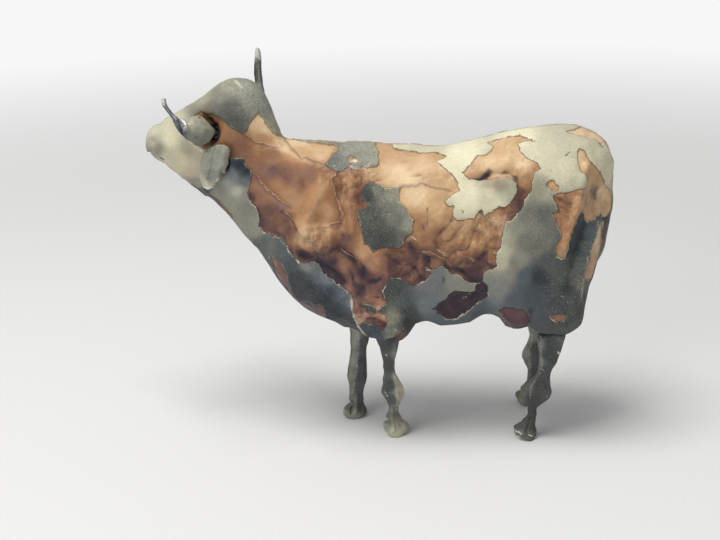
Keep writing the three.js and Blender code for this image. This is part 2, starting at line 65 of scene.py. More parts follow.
def placeCamera(setup):
    azimuth, elevation, roll = (math.radians(setup[key]) for key in ("azimuth", "elevation", "roll"))
    flat = math.cos(elevation)
    back = Vector((math.sin(azimuth) * flat, -math.cos(azimuth) * flat, math.sin(elevation)))
    level = Vector((math.cos(azimuth), math.sin(azimuth), 0))
    rise = back.cross(level)
    right = math.cos(roll) * level + math.sin(roll) * rise
    up = math.cos(roll) * rise - math.sin(roll) * level
    aim = bodyLow + Vector(setup["aim"]) * mm
    bpy.ops.object.camera_add(location=aim + back * setup["distance"])
    camera = bpy.context.object
    camera.name = "photoCamera"
    camera.rotation_euler = Matrix((right, up, back)).transposed().to_euler()
    camera.data.lens = setup["lens"]
    camera.data.sensor_width = setup["sensor"]
    camera.data.clip_start = setup["clipFrom"]
    camera.data.clip_end = setup["clipTo"]
    bpy.context.scene.camera = camera
    return np.array(camera.location), np.array((right, up, back))


cameraAt, cameraAxes = placeCamera(cameraSetup)
pixelReach = cameraSetup["lens"] / cameraSetup["sensor"] * cameraSetup["imageSize"][0]
pixelsPerMm = pixelReach * mm / cameraSetup["distance"]
photoSide = math.radians(cameraSetup["azimuth"])
outward = np.array((math.sin(photoSide), -math.cos(photoSide), 0))  # level, towards the camera
downward = np.array((0, 0, -1.05))  # upright, and one unit long as the camera sees it


def toPhoto(points):
    seen = (points - cameraAt) @ cameraAxes.T
    centre = np.array(cameraSetup["imageSize"]) / 2
    return centre + seen[:, :2] * (1, -1) * pixelReach / -seen[:, 2:]


def facingCamera(points, normals):
    toCamera = cameraAt - points
    toCamera /= np.linalg.norm(toCamera, axis=1, keepdims=True)
    return (normals * toCamera).sum(1)


print("camera placed")

# Measuring on a surface


def ramp(low, high, value):
    share = np.clip((value - low) / (high - low), 0, 1)
    return share * share * (3 - 2 * share)


def fromPath(points, path, closed=False):
    path = np.asarray(path, float)
    starts, ends = (path, np.roll(path, -1, 0)) if closed else (path[:-1], path[1:])
    nearest = np.full(len(points), np.inf)
    side = np.zeros(len(points))
    for start, end in zip(starts, ends):
        run = end - start
        offset = points - start
        share = np.clip(offset @ run / (run @ run), 0, 1)
        away = np.linalg.norm(offset - share[:, None] * run, axis=1)
        closer = away < nearest
        nearest[closer] = away[closer]
        side[closer] = np.sign(run[0] * offset[closer, 1] - run[1] * offset[closer, 0])
    return nearest, side


def insideOutline(points, outline):
    outline = np.asarray(outline, float)
    away, _ = fromPath(points, outline, closed=True)
    inside = np.zeros(len(points), bool)
    for (x0, y0), (x1, y1) in zip(outline, np.roll(outline, -1, 0)):
        if y0 == y1:
            continue
        crosses = (points[:, 1] < y0) != (points[:, 1] < y1)
        at = x0 + (points[:, 1] - y0) * (x1 - x0) / (y1 - y0)
        inside ^= crosses & (points[:, 0] < at)
    return np.where(inside, away, -away)


def nearPath(pixels, path, reach):
    away, _ = fromPath(pixels, path)
    return np.exp(-((away / reach) ** 2))


def sumOfStrokes(pixels, strokes):
    total = np.zeros(len(pixels))
    for path, reach, strength in strokes:
        total += strength * nearPath(pixels, path, reach)
    return total


def strongestStroke(pixels, strokes):
    strongest = np.zeros(len(pixels))
    for path, reach, strength in strokes:
        strongest = np.maximum(strongest, strength * nearPath(pixels, path, reach))
    return strongest


def nearestTouches(pixels, touches, softness=13.0):
    # each point's values come from the touches round it, the nearest most of all
    touches = np.array(touches, float)
    weights = np.zeros(len(pixels))
    total = np.zeros((len(pixels), touches.shape[1] - 2))
    for touch in touches:
        away = ((pixels - touch[:2]) ** 2).sum(1)
        weight = 1 / (away + softness) ** 2
        weights += weight
        total += weight[:, None] * touch[2:]
    return (total / weights[:, None]).T


def bothSides(seen, inPhoto, unseen):
    return seen * inPhoto + (1 - seen) * unseen


def grain(points, size, shift=0.0):
    return np.array([noise.noise(Vector(at)) for at in points / (size * mm) + shift])


def stirred(points, size, amount):
    moves = [noise.noise_vector(Vector(at)) for at in points / (size * mm) + 3.3]
    return points + np.array(moves) * amount * mm


def handMarks(points, sizes):
    return sum(grain(points, size) * depth for size, depth in sizes)


# Fitting a piece's outline to the photo's

rowHalf = 1.5  # pixels either side of a place that count as its row


def ownEdge(pixels, across, side, places, shown=True):
    found = []
    for place in places:
        near = (np.abs(pixels[:, 1 - across] - place) < rowHalf) & shown
        found.append(side * (side * pixels[near, across]).max() if near.any() else np.nan)
    found = np.array(found)
    known = ~np.isnan(found)
    return np.interp(places, np.array(places)[known], found[known])


def fitEdge(points, across, side, targets, reach, shown=True, fade=6.0):
    # across is 0 for a left or right edge, 1 for an upper or lower one
    places, wanted = np.array(targets, float).T
    pixels = toPhoto(points)
    along = pixels[:, 1 - across]
    own = ownEdge(pixels, across, side, places, shown)
    edgeAt = np.interp(along, places, own)
    near = ramp(reach, 0, side * (edgeAt - pixels[:, across]))
    inRange = ramp(places[0] - fade, places[0], along) * ramp(places[-1] + fade, places[-1], along)
    move = np.interp(along, places, wanted - own) * near * inRange / pixelsPerMm * mm
    print("edge moved at most", round(float(np.abs(wanted - own).max()), 1), "pixels")
    return points + move[:, None] * (downward if across else cameraAxes[0])


def fitRows(points, rows, fade, shown, footMargin=0.3, footReach=25, footFade=20.0):
    # stretches each row sideways, so that its two ends lie where the photo has them;
    # with no fade below, the last rows are counted from the foot's own lowest row
    places, left, right = np.array(rows, float).T
    pixels = toPhoto(points)
    height = pixels[:, 1]
    fadeAbove, fadeBelow = fade
    if not fadeBelow:
        lowest = height[shown].max() - footMargin
        places = places + ramp(places[-1] - footReach, places[-1], places) * (lowest - places[-1])
        fadeBelow = footFade
    ownLeft = np.interp(height, places, ownEdge(pixels, 0, -1, places, shown))
    ownRight = np.interp(height, places, ownEdge(pixels, 0, 1, places, shown))
    share = np.clip((pixels[:, 0] - ownLeft) / np.maximum(ownRight - ownLeft, 1), 0, 1)
    moveLeft = np.interp(height, places, left) - ownLeft
    moveRight = np.interp(height, places, right) - ownRight
    fromAbove = ramp(places[0] - fadeAbove, places[0], height)
    fromBelow = ramp(places[-1] + fadeBelow, places[-1], height)
    move = (moveLeft * (1 - share) + moveRight * share) * fromAbove * fromBelow
    return points + (move / pixelsPerMm * mm)[:, None] * cameraAxes[0]


# Starting a piece from the frame's node, refining it and handing it over


def readMesh(piece):
    count = len(piece.data.vertices)
    points = np.empty(count * 3)
    normals = np.empty(count * 3)
    piece.data.vertices.foreach_get("co", points)
    piece.data.vertex_normals.foreach_get("vector", normals)
    return points.reshape(-1, 3), normals.reshape(-1, 3)


def moveMesh(piece, points):
    piece.data.vertices.foreach_set("co", points.astype(np.float32).ravel())
    piece.data.update()


def storeOnPoints(piece, **values):
    for name, value in values.items():
        attribute = piece.data.attributes.new(name, "FLOAT", "POINT")
        attribute.data.foreach_set("value", np.asarray(value, np.float32))


def selectOnly(piece):
    bpy.ops.object.select_all(action="DESELECT")
    piece.select_set(True)
    bpy.context.view_layer.objects.active = piece


def copyOfNode(node, name):
    piece = bpy.data.objects.new(name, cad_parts[node].data.copy())
    bpy.context.collection.objects.link(piece)
    piece.data.name = name
    piece.data.materials.clear()
    selectOnly(piece)
    bpy.ops.object.mode_set(mode="EDIT")
    bpy.ops.mesh.select_all(action="SELECT")
    bpy.ops.mesh.remove_doubles(threshold=0.01 * mm)
    bpy.ops.object.mode_set(mode="OBJECT")
    return piece


def applyModifier(piece, kind, **settings):
    selectOnly(piece)
    modifier = piece.modifiers.new(kind, kind)
    for key, value in settings.items():
        setattr(modifier, key, value)
    bpy.ops.object.modifier_apply(modifier=modifier.name)


def refine(piece, steps):
    for voxel, rounds in steps:
        applyModifier(piece, "REMESH", mode="VOXEL", voxel_size=voxel * mm, use_smooth_shade=True)
        applyModifier(piece, "SMOOTH", factor=0.5, iterations=rounds)


def finishPiece(piece, node, material):
    piece.data.materials.append(material)
    selectOnly(piece)
    bpy.ops.object.shade_smooth()
    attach(piece, "root")
    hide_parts(node)


# Materials, and the effects that they share


class NodeDesk:
    def __init__(self, tree):
        self.tree = tree

    def add(self, kind, settings=None, **sockets):
        node = self.tree.nodes.new("ShaderNode" + kind)
        for key, value in (settings or {}).items():
            setattr(node, key, value)
        for title, value in sockets.items():
            self.feed(node, title.replace("_", " "), value)
        return node

    def feed(self, node, title, value):
        socket = node.inputs[int(title)] if title.isdigit() else node.inputs[title]
        if isinstance(value, bpy.types.NodeSocket):
            self.tree.links.new(value, socket)
        else:
            socket.default_value = value

    def maths(self, operation, first, second=0.0, clamp=False):
        node = self.tree.nodes.new("ShaderNodeMath")
        node.operation = operation
        node.use_clamp = clamp
        self.feed(node, "0", first)
        self.feed(node, "1", second)
        return node.outputs[0]

    def plus(self, total, *others):
        for other in others:
            total = self.maths("ADD", total, other)
        return total

    def times(self, product, *others, clamp=False):
        for other in others:
            product = self.maths("MULTIPLY", product, other, clamp)
        return product

    def step(self, value, low, high, fromValue=0.0, toValue=1.0):
        node = self.add("MapRange", {"interpolation_type": "SMOOTHSTEP"}, Value=value)
        ends = {"From Min": low, "From Max": high, "To Min": fromValue, "To Max": toValue}
        for title, number in ends.items():
            self.feed(node, title, number)
        return node.outputs[0]

    def band(self, value, rise, fall):
        return self.times(self.step(value, *rise), self.step(value, *fall))

    def attribute(self, name):
        return self.add("Attribute", {"attribute_name": name}).outputs["Fac"]

    def noise(self, where, size, detail=2.0, rough=0.5):
        node = self.add("TexNoise", Vector=where, Scale=1 / (size * mm), Detail=detail, Roughness=rough)
        return node.outputs["Fac"]

    def noises(self, where, table):
        return {name: self.noise(where, *settings) for name, settings in table.items()}

    def swing(self, noiseValue, amount):
        # the noise, centred on 0
        return self.times(self.maths("SUBTRACT", noiseValue, 0.5), amount)

    def mix(self, share, first, second, blend="MIX"):
        node = self.add("Mix", {"data_type": "RGBA", "blend_type": blend})
        for number, value in ((0, share), (6, first), (7, second)):
            self.feed(node, str(number), value)
        return node.outputs[2]

    def mixValues(self, share, first, second):
        node = self.add("Mix", {"data_type": "FLOAT"})
        for number, value in ((0, share), (2, first), (3, second)):
            self.feed(node, str(number), value)
        return node.outputs[0]

    def layers(self, colour, *layers):
        # each layer is its share, its colour and, where it isn't MIX, its blend
        for share, over, *blend in layers:
            colour = self.mix(share, colour, (*over, 1) if isinstance(over, tuple) else over, *blend)
        return colour

    def blendColours(self, share, stops):
        node = self.add("ValToRGB", Fac=share)
        elements = node.color_ramp.elements
        while len(elements) < len(stops):
            elements.new(0.5)
        for element, (place, colour) in zip(elements, stops):
            element.position = place
            element.color = (*colour, 1)
        return node.outputs["Color"]

    def bump(self, shader, height, strength=1.0, distance=mm):
        node = self.add("Bump", Height=height, Distance=distance, Strength=strength)
        self.feed(shader, "Normal", node.outputs[0])


def newGroup(name, inputs, outputs):
    group = bpy.data.node_groups.new(name, "ShaderNodeTree")
    for title, kind, default in inputs:
        socket = group.interface.new_socket(title, in_out="INPUT", socket_type=kind)
        socket.default_value = default
    for title, kind in outputs:
        group.interface.new_socket(title, in_out="OUTPUT", socket_type=kind)
    return group


speckleSetup = {
    "fine": {"Detail": 3.0, "Roughness": 0.7},
    "cells": {"Detail": 1.0, "Roughness": 0.5},
    "cellScale": 0.35,
    "cellShare": 0.2,
    "grain": (0.32, 0.68),
    "flecks": (0.62, 0.7),
}


def makeSpeckleGroup(setup):
    group = newGroup(
        "speckle",
        [("Vector", "NodeSocketVector", (0, 0, 0)), ("Size", "NodeSocketFloat", 4000.0)],
        [("Grain", "NodeSocketFloat"), ("Flecks", "NodeSocketFloat")],
    )
    desk = NodeDesk(group)
    given = group.nodes.new("NodeGroupInput")
    handed = group.nodes.new("NodeGroupOutput")
    where, scale = given.outputs[:2]
    fine = desk.add("TexNoise", Vector=where, Scale=scale, **setup["fine"]).outputs["Fac"]
    cellScale = desk.times(scale, setup["cellScale"])
    cells = desk.add("TexNoise", Vector=where, Scale=cellScale, **setup["cells"]).outputs["Fac"]
    both = desk.plus(desk.times(fine, 1 - setup["cellShare"]), desk.times(cells, setup["cellShare"]))
    desk.feed(handed, "0", desk.step(both, *setup["grain"]))
    desk.feed(handed, "1", desk.step(fine, *setup["flecks"]))
    return group


speckleGroup = makeSpeckleGroup(speckleSetup)


def speckle(desk, where, size):
    node = desk.tree.nodes.new("ShaderNodeGroup")
    node.node_tree = speckleGroup
    desk.feed(node, "0", where)
    desk.feed(node, "1", 1 / (size * mm))
    return node.outputs


def newMaterial(name):
    material = bpy.data.materials.new(name)
    material.use_nodes = True
    desk = NodeDesk(material.node_tree)
    shader = material.node_tree.nodes["Principled BSDF"]
    where = desk.add("TexCoord").outputs["Object"]
    return material, desk, shader, where


# The clay body: relief that the clay shows, read off the photo in its pixels

clayRelief = {
    "voxels": ((0.7, 6), (0.4, 3)),  # mm, and rounds of smoothing
    "handMarks": ((8.0, 0.2), (2.4, 0.05)),  # mm across, mm deep
    "seenFrom": (0.02, 0.25),  # how far a surface faces the camera, from unseen to seen
    "edgeLimit": 5,
    "paintThickness": 0.15,
    "stainDepth": 0.2,
    "unseenCrumple": 0.17,
    "scuffPath": [(310, 234), (322, 246)],
    "scuffReach": 11,
    "scuffs": (("scuffs", 1.5), ("fineScuffs", 0.5)),  # pattern, mm deep
    "mauveRows": (240, 290),
    # the clay in the hollow round the left horn's plug is left bare and darkened as painted shade
    "hornHollow": (3.1, 2.7),  # mm from the middle of the plaster below the left horn's plug
    "hollowEdge": -1.5,
    "tail": {
        "ridge": 0.6,
        "halfWidth": 1.6,
        "groove": 0.85,
        "grooveAt": 3.3,
        "grooveReach": 1.3,
        "rearDepth": 1.5,
        "low": 22,
        "high": 60,
    },
}

# the outline's edges: across, side, (place, edge) in the photo, reach in pixels
bodyEdges = [
    (0, 1, [
        (156, 613), (171, 612), (196, 610), (220, 607), (245, 602), (267, 595), (286, 589), (306, 585.5),
        (320, 583.5),
    ], 60),
    (1, 1, [
        (345, 327), (375, 335.5), (395, 341), (407, 335), (415, 324), (440, 325), (470, 321.5), (485, 314),
        (500, 318), (506, 325.5), (513, 328.6), (519, 328.4), (524, 327), (529, 325.5), (534, 329),
        (540, 332.5), (547, 334), (560, 335), (572, 332), (580, 327),
    ], 22),
    (1, -1, [
        (160, 124), (167, 118), (175.5, 113), (184.5, 106), (193.5, 101.5), (202, 96), (211, 89),
        (220, 82.7), (229, 79.2), (239.5, 78.2), (247, 79.5), (255.5, 83.6), (262.5, 90), (268, 98),
        (273.3, 111), (278, 125), (281, 132), (285, 136), (294, 137.8), (310, 139), (326, 140.5),
        (342, 142), (366, 141.5), (390, 143), (414, 144), (430, 145.7), (446, 145), (462, 142), (478, 138),
        (494, 133.5), (510, 130.3), (526, 128), (542, 126), (560, 124.3), (574, 125), (590, 129),
        (600, 134.5), (605, 139),
    ], 20),
    (1, 1, [
        (151, 153), (155, 158), (160, 161), (166, 164), (174, 171), (182, 178.5), (190, 185), (198, 190.5),
        (206, 196.5), (214, 202), (222, 209), (230, 217.5), (238, 227.5), (246, 237), (254, 246),
        (262, 255.5), (270, 267), (278, 279), (286, 290), (294, 299.5), (302, 306.5), (310, 311.5),
        (318, 315.5), (326, 318.5), (335, 321.5),
    ], 14),
]

# outlines of what paint is left, and of bare clay within it, from back to front
paintOutlines = [
    ("paint", "headAndNeck", [
        (195, 118), (199, 114.5), (206, 113.5), (212, 113), (217, 114.5), (222, 119), (231, 126.5),
        (238.5, 131.5), (244, 133), (247, 130.5), (248, 126.5), (250.5, 121), (255, 116.5), (259, 113),
        (262.5, 116.5), (265.5, 123), (270, 128.5), (273, 133), (276, 135), (282, 136.5), (290, 134),
        (292, 40), (110, 40), (110, 190), (185, 215), (250, 280), (300, 330), (345, 352), (371, 352),
        (370, 336), (366.5, 333.5), (362.5, 329.5), (358.5, 325), (356, 320.5), (354, 315.5), (352.5, 310),
        (352, 304), (349.5, 296), (343, 290), (334.5, 283.5), (328.5, 278.5), (322, 273), (317.5, 265.5),
        (311, 261.5), (308.5, 264), (301.5, 263.5), (299.5, 262), (293, 256), (289, 249.5), (287.5, 244),
        (285, 239), (281, 236.5), (275, 236.5), (271.5, 235.5), (266, 232), (261.5, 230), (259, 226),
        (259.5, 218), (258, 213), (257, 207.5), (253, 204), (249, 197.5), (246.5, 193.5), (249.5, 186.5),
        (251, 180), (252, 173), (249.5, 169), (245, 163), (243.5, 158.5), (242.5, 157.5), (228, 158.5),
        (222, 153), (205, 149), (199, 147), (203, 141), (206, 131), (205, 121), (201, 116),
    ]),
    ("bare", "mouthCorner", [(158.5, 158.5), (162, 159.5), (166.5, 164), (163, 165.5), (159.5, 163)]),
    ("bare", "hornRim", [
        (195, 117.5), (196.5, 113), (202, 111.5), (207, 113.5), (211, 112.5), (213, 116), (206, 117.5),
        (199, 119),
    ]),
    ("bare", "throat", [
        (186, 180.5), (195, 186), (206.5, 191.5), (213.5, 195), (220.5, 201), (226, 207), (232, 214),
        (236, 224), (228, 222), (218, 215), (205, 205), (192, 193),
    ]),
    ("bare", "keel", [
        (270, 254), (277, 258), (283, 263), (284, 268.5), (287, 272), (288, 280), (291, 288), (294, 295),
        (299, 299.5), (306.5, 301), (311, 303.5), (315.5, 306.5), (319.5, 304), (324, 308), (325, 312.5),
        (324, 317.5), (316, 318), (306, 313), (296, 306), (286, 297), (278, 284), (272, 268),
    ]),
    ("paint", "spine", [
        (283, 125), (283, 137.5), (300, 140.5), (320, 142.5), (334, 144.5), (340, 148.5), (335, 153),
        (332, 154), (330.5, 158.5), (327.5, 163), (326, 165), (330.5, 169), (334.5, 170), (338.5, 172.5),
        (342, 170), (347.5, 168.5), (349, 165), (351.5, 163.5), (353, 167.5), (356, 169.5), (360.5, 167.5),
        (363.5, 166.5), (367.5, 168.5), (370.5, 166.5), (376, 166), (378, 163.5), (378, 157), (379, 152),
        (376.5, 149), (375, 145), (376.5, 142.5), (377, 125),
    ]),
    ("bare", "spineSpot", [
        (346.8, 158.5), (349.5, 156.2), (353.5, 156), (357.8, 159), (358.2, 162), (354.5, 163.5),
        (348.5, 162),
    ]),
    ("paint", "shoulder", [
        (370, 181.5), (373, 183), (377.5, 184.5), (383, 186.5), (386.5, 189.5), (393.5, 188), (401, 187),
        (399, 195), (398.5, 202), (402.5, 204), (406.5, 209), (409.5, 213.5), (411, 217), (413.5, 220.5),
        (412, 225.5), (412, 233), (405, 238.5), (402.5, 240.5), (404, 245), (400.5, 247.5), (389.5, 247.5),
        (383, 247.5), (376.5, 250), (373.5, 252), (370.5, 248.5), (368.5, 245), (364.5, 243.5), (362, 233),
        (360, 221.5), (357.5, 214.5), (357, 210.5), (366, 208.5), (367.5, 203.5), (363.5, 200.5),
        (362, 198), (362, 191), (363, 186.5), (366, 184.5),
    ]),
    ("paint", "backRumpAndBelly", [
        (393, 125), (392.5, 145.5), (396, 149), (409, 151), (422, 153), (432, 152), (440, 153), (445, 155),
        (446.5, 157), (442.5, 159.5), (437, 161.5), (440, 165), (444.5, 167.5), (447.5, 170.5),
        (453, 174.5), (455.5, 178), (459, 182.5), (458.5, 186), (460, 190.5), (455.5, 193.5), (450, 197.5),
        (445.5, 200.5), (446, 203.5), (449, 205.5), (454, 205.5), (454, 210), (453, 217), (457, 220),
        (474, 218), (481, 209), (485, 215), (493.5, 210), (498, 206.5), (505, 207), (511, 202),
        (513.5, 197.5), (516.5, 193.5), (517.5, 187.5), (516.5, 182.5), (510.5, 179), (506, 176.5),
        (502.5, 178.5), (495, 178), (490.5, 179.5), (486, 180.5), (480.5, 179.5), (469, 180), (466, 177),
        (462, 173), (470, 166), (472, 163), (477.5, 157), (486.5, 156.5), (491.5, 151.5), (493, 147),
        (487.5, 143), (493.5, 140.5), (505, 137), (519, 135.5), (526.5, 137), (536.5, 142), (530.5, 141.5),
        (522.5, 142), (518, 144), (519.5, 148.5), (522.5, 153), (527, 157.5), (532, 160), (538, 162.5),
        (540, 166), (542, 169), (534, 173), (533.5, 179), (532, 185), (532.5, 189), (528, 195.5),
        (524, 200.5), (524, 205), (520.5, 210), (512, 220), (506, 221), (503.5, 231), (502, 240),
        (501, 244.5), (500.5, 249), (496.5, 252.5), (496.5, 257), (496, 260.5), (497, 266.5), (492.5, 269),
        (486.5, 270), (483.5, 273.5), (483, 278.5), (483, 281.5), (476, 284.5), (473, 283), (467.5, 282),
        (463.5, 278.5), (460.5, 276), (453.5, 275), (449, 272), (446, 269), (442, 267), (438.5, 268),
        (435, 270.5), (429.5, 276), (425, 281), (421, 282), (416.5, 285.5), (413.5, 286.5), (409, 284),
        (403.5, 281), (400.5, 278), (393.5, 277.5), (390, 276.5), (387.5, 280.5), (385, 286.5),
        (381.5, 290.5), (383, 295), (384.5, 300), (387.5, 301.5), (389, 304), (384, 305.5), (378.5, 309),
        (374.5, 307.5), (368.5, 304), (362, 302.5), (359, 301.5), (359, 305), (362.5, 307), (365.5, 308.5),
        (368.5, 312), (374, 313), (378.5, 312.5), (383, 313), (386, 316), (388.5, 321.5), (392.5, 324.5),
        (395.5, 328.5), (398, 331), (402, 337), (405, 350), (640, 350), (640, 110), (393, 110),
    ]),
    ("bare", "flankPatch", [
        (483, 281.5), (486.5, 285), (489, 287.5), (487.5, 292), (488, 296.5), (483.5, 299), (477.5, 302.5),
        (474.5, 305), (466.5, 312), (460.5, 315), (456, 318), (451.5, 318.5), (444.5, 317.5), (441.5, 314),
        (436, 311.5), (435.5, 309), (432, 308.5), (437.5, 305), (439, 302), (446, 299.5), (449, 294.5),
        (453.5, 291), (460.5, 291), (466.5, 292), (473, 292), (476, 290.5), (475, 287.5), (476, 285.5),
    ]),
    ("paint", "elbow", [
        (358.5, 325), (362, 322.5), (365.5, 320.5), (369.5, 322.5), (374.5, 323.5), (379.5, 326.5),
        (385, 328), (387, 324), (389, 322), (392.5, 325), (395.5, 329), (397.5, 331.5), (394, 334.5),
        (388, 336), (384, 338.5), (378, 345), (366, 340), (362.5, 331),
    ]),
    ("bare", "elbowUnderside", [
        (384, 340.5), (391, 337), (397.5, 334.7), (399.5, 330), (402.6, 331), (403.2, 334), (402, 337),
        (397, 338), (391, 339.5), (386, 342),
    ]),
    ("bare", "thigh", [
        (553.5, 195.5), (559, 192.5), (566, 193), (573.5, 191), (579.5, 188), (586, 188), (586.5, 183.5),
        (587.5, 180.5), (585, 176), (581, 172.5), (579, 169), (577.5, 160.5), (576.5, 153), (579, 149.5),
        (583.5, 150.5), (587.5, 156), (589.5, 160.5), (595, 166.5), (599.5, 171), (602, 176.5),
        (605, 183.5), (609, 187), (622, 188), (622, 218), (605, 218), (602.5, 213), (600.5, 215),
        (596, 218), (591.5, 221.5), (589.5, 219.5), (586, 217.5), (584.5, 212.5), (581.5, 211.5),
        (579.5, 213.5), (575.5, 220.5), (572.5, 228.5), (570.5, 236), (568.5, 242.5), (566.5, 249.5),
        (563, 257.5), (560.5, 259), (558, 257), (556, 252.5), (555.5, 247.5), (559, 241), (561.5, 236.5),
        (561, 231.5), (558.5, 229), (557, 224.5), (556, 219.5), (552.5, 215), (553.5, 212.5),
        (559.5, 212.5), (558.5, 208.5), (556.5, 203), (553.5, 199),
    ]),
    ("bare", "tailSide", [
        (600.5, 221.5), (599, 225.5), (596.5, 231), (595.5, 235.5), (593, 243), (591, 248.5), (589.5, 255),
        (589.5, 260), (587, 266), (584.5, 270.5), (583.5, 275), (584, 279), (587, 279.5), (591, 277.5),
        (600, 279), (622, 240), (622, 218), (606, 221),
    ]),
    ("bare", "rumpTop", [
        (566, 132), (572, 130), (578, 128.5), (590, 118), (625, 140), (606, 141.5), (604, 142.5),
        (601, 143.5), (598, 141.5), (595, 139.5), (590.5, 139.5), (585, 138), (578, 136.5), (572, 134.5),
    ]),
    ("bare", "hockSpot", [
        (547.5, 182), (550.5, 180.5), (553, 180), (556, 183.5), (560.5, 186.5), (559, 189.5), (556.5, 191),
        (552, 192), (548.5, 189), (546.5, 185.5),
    ]),
    ("bare", "shankSpot", [
        (550, 316.5), (554.5, 314.5), (563.5, 313.5), (566, 316), (563, 321), (555, 320.5), (551, 318.5),
    ]),
    ("bare", "udder", [
        (499, 309), (505, 306.5), (515, 307), (523, 309.5), (528, 313), (530, 318), (529.3, 323),
        (527, 328), (527, 345), (505, 345), (500, 325), (498, 316),
    ]),
]

# how light (0 to 1) the paint is round a few places, its own tone together with painted light, shade and
# highlights,
# and how cool (-1 to 1): above 0 a painted cool reflection, below 0 a warmer tone
paintTouches = [
    (228, 86, 0.56, 0.1), (245, 90, 0.57, 0.3), (250, 100, 0.52, 0.35), (235, 110, 0.26, 0.2),
    (225, 112, 0.2, 0.1), (232, 120, 0.18, 0.1), (262, 105, 0.53, 0.5), (270, 125, 0.55, 0.2),
    (222, 100, 0.46, 0), (225, 105, 0.26, 0), (205, 100, 0.57, 0), (210, 107, 0.36, -0.5),
    (216, 109, 0.3, -0.3), (175, 125, 0.8, 0.2), (182, 160, 0.78, -0.25), (168, 157, 0.74, 0),
    (152, 130, 0.78, 0.2), (170, 140, 0.87, -0.1), (153, 142, 0.66, 0), (153, 146, 0.52, 0),
    (157, 148, 0.44, 0.2), (190, 150, 0.56, -0.3), (195, 165, 0.7, -0.4), (228, 168, 0.48, 1),
    (231, 172, 0.5, 0.9), (238, 166, 0.03, 0.9), (246, 172, 0.03, 0.9), (244, 181, 0.3, 0.6),
    (234, 176, 0.42, 0.7), (226, 180, 0.6, 0.4), (238, 191, 0.7, 0.3), (245, 196, 0.46, 0.3),
    (232, 202, 0.48, 0.15), (214, 195, 0.42, 0.2), (205, 192, 0.04, 0.7), (200, 191, 0.06, 0.7),
    (248, 206, 0.42, 0.2), (256, 228, 0.48, 0.2), (262, 245, 0.24, 0.4), (272, 245, 0.3, 0.4),
    (280, 250, 0.26, 0.6), (292, 262, 0.2, 0.8), (288, 270, 0.14, 0.6), (300, 285, 0.1, 0.7),
    (300, 296, 0.07, 0.8), (318, 277, 0.3, 0.9), (306, 266, 0.42, 0.5), (323, 275, 0.48, 0.9),
    (330, 281, 0.42, 0.9), (337, 287, 0.26, 0.9), (343.5, 294, 0.34, 0.9), (348, 302, 0.4, 0.9),
    (300, 276, 0.06, 0.7), (290, 275, 0.06, 0.6), (311, 285, 0.06, 0.7), (341, 315, 0, 1),
    (197, 158, 0.62, -0.4), (197.5, 167, 0.62, -0.4), (200, 186, 0.54, -0.4), (318, 290, 0.08, 0.9),
    (330, 290, 0.1, 1), (325, 300, 0, 1), (335, 312, 0, 1), (344, 301, 0.24, 1), (340, 306, 0.06, 1),
    (346, 320, 0.12, 0.6), (333, 160, 0.36, 0.4), (352, 152, 0.54, 0.3), (370, 150, 0.57, 0.2),
    (310, 138, 0.55, 0.1), (366, 195, 0.1, 0.1), (380, 191, 0.38, 0), (392, 195, 0.48, 0),
    (400, 204, 0.42, 0), (368, 215, 0.2, 0), (376, 223, 0.16, 0), (389, 210, 0.34, 0), (398, 221, 0.32, 0),
    (407, 224, 0.5, 0), (372, 236, 0.12, 0.1), (390, 237, 0.14, 0.1), (403, 238, 0.27, 0.1),
    (378, 244, 0.12, 0.1), (400, 147, 0.84, 0), (430, 148, 0.83, 0), (462, 154, 0.97, 0),
    (450, 168, 0.94, 0), (470, 195, 0.98, 0), (490, 192, 0.88, 0), (490, 184, 0.6, -0.5),
    (498, 184, 0.54, -0.8), (504, 187, 0.56, -0.5), (509, 192, 0.66, 0), (512, 195, 0.72, 0),
    (505, 196, 0.76, 0), (499, 201, 0.92, 0), (520, 133, 0.98, 0), (535, 155, 0.86, 0), (548, 148, 0.8, 0),
    (558, 172, 0.87, 0), (560, 140, 0.74, 0), (590, 148, 0.76, 0), (602, 155, 0.92, 0), (607, 172, 0.9, 0),
    (541, 190, 0.62, 0), (526, 216, 0.36, 0.2), (545, 216, 0.28, 0.1), (515, 226, 0.5, 0),
    (508, 238, 0.58, 0), (505, 252, 0.68, 0), (502, 263, 0.64, 0), (516, 262, 0.42, 0),
    (526, 242, 0.34, -0.3), (540, 246, 0.32, -0.2), (525, 276, 0.22, 0.8), (538, 276, 0.06, 0.8),
    (548, 262, 0.18, 0.4), (508, 275, 0.42, 0.3), (500, 290, 0.44, 0.5), (532, 296, 0.16, 0.9),
    (546, 302, 0.16, 0.6), (586, 227, 0.08, 1), (583, 238, 0.07, 0.9), (578, 250, 0.07, 0.9),
    (594, 221, 0.26, 0.6), (574, 264, 0.18, 0.4), (571, 278, 0.22, 0.2), (592, 231, 0.32, 0.8),
    (588, 246, 0.26, 0.5), (583, 264, 0.27, 0.3), (580, 282, 0.3, 0.2), (576, 304, 0.22, 0.3),
    (567, 290, 0.12, 0.5), (562, 278, 0.2, 0.3), (562, 303, 0.15, 0.4), (393, 292, 0.14, 0.3),
    (404, 303, 0.28, 0.7), (430, 283, 0.38, 0.6), (462, 286, 0.5, 0.3), (425, 306, 0.42, 0.9),
    (440, 324, 0.3, 1), (480, 312, 0.28, 1), (515, 300, 0.24, 0.9), (367, 307, 0.12, 0.1),
    (375, 310, 0.16, 0.1), (368, 327, 0.1, 1), (378, 334, 0.14, 1), (391, 330, 0.38, 0.4),
    (394, 318, 0.44, 0), (407, 323, 0.06, 0), (408, 312, 0.14, 0.4), (398, 326, 0.28, 0.1),
]
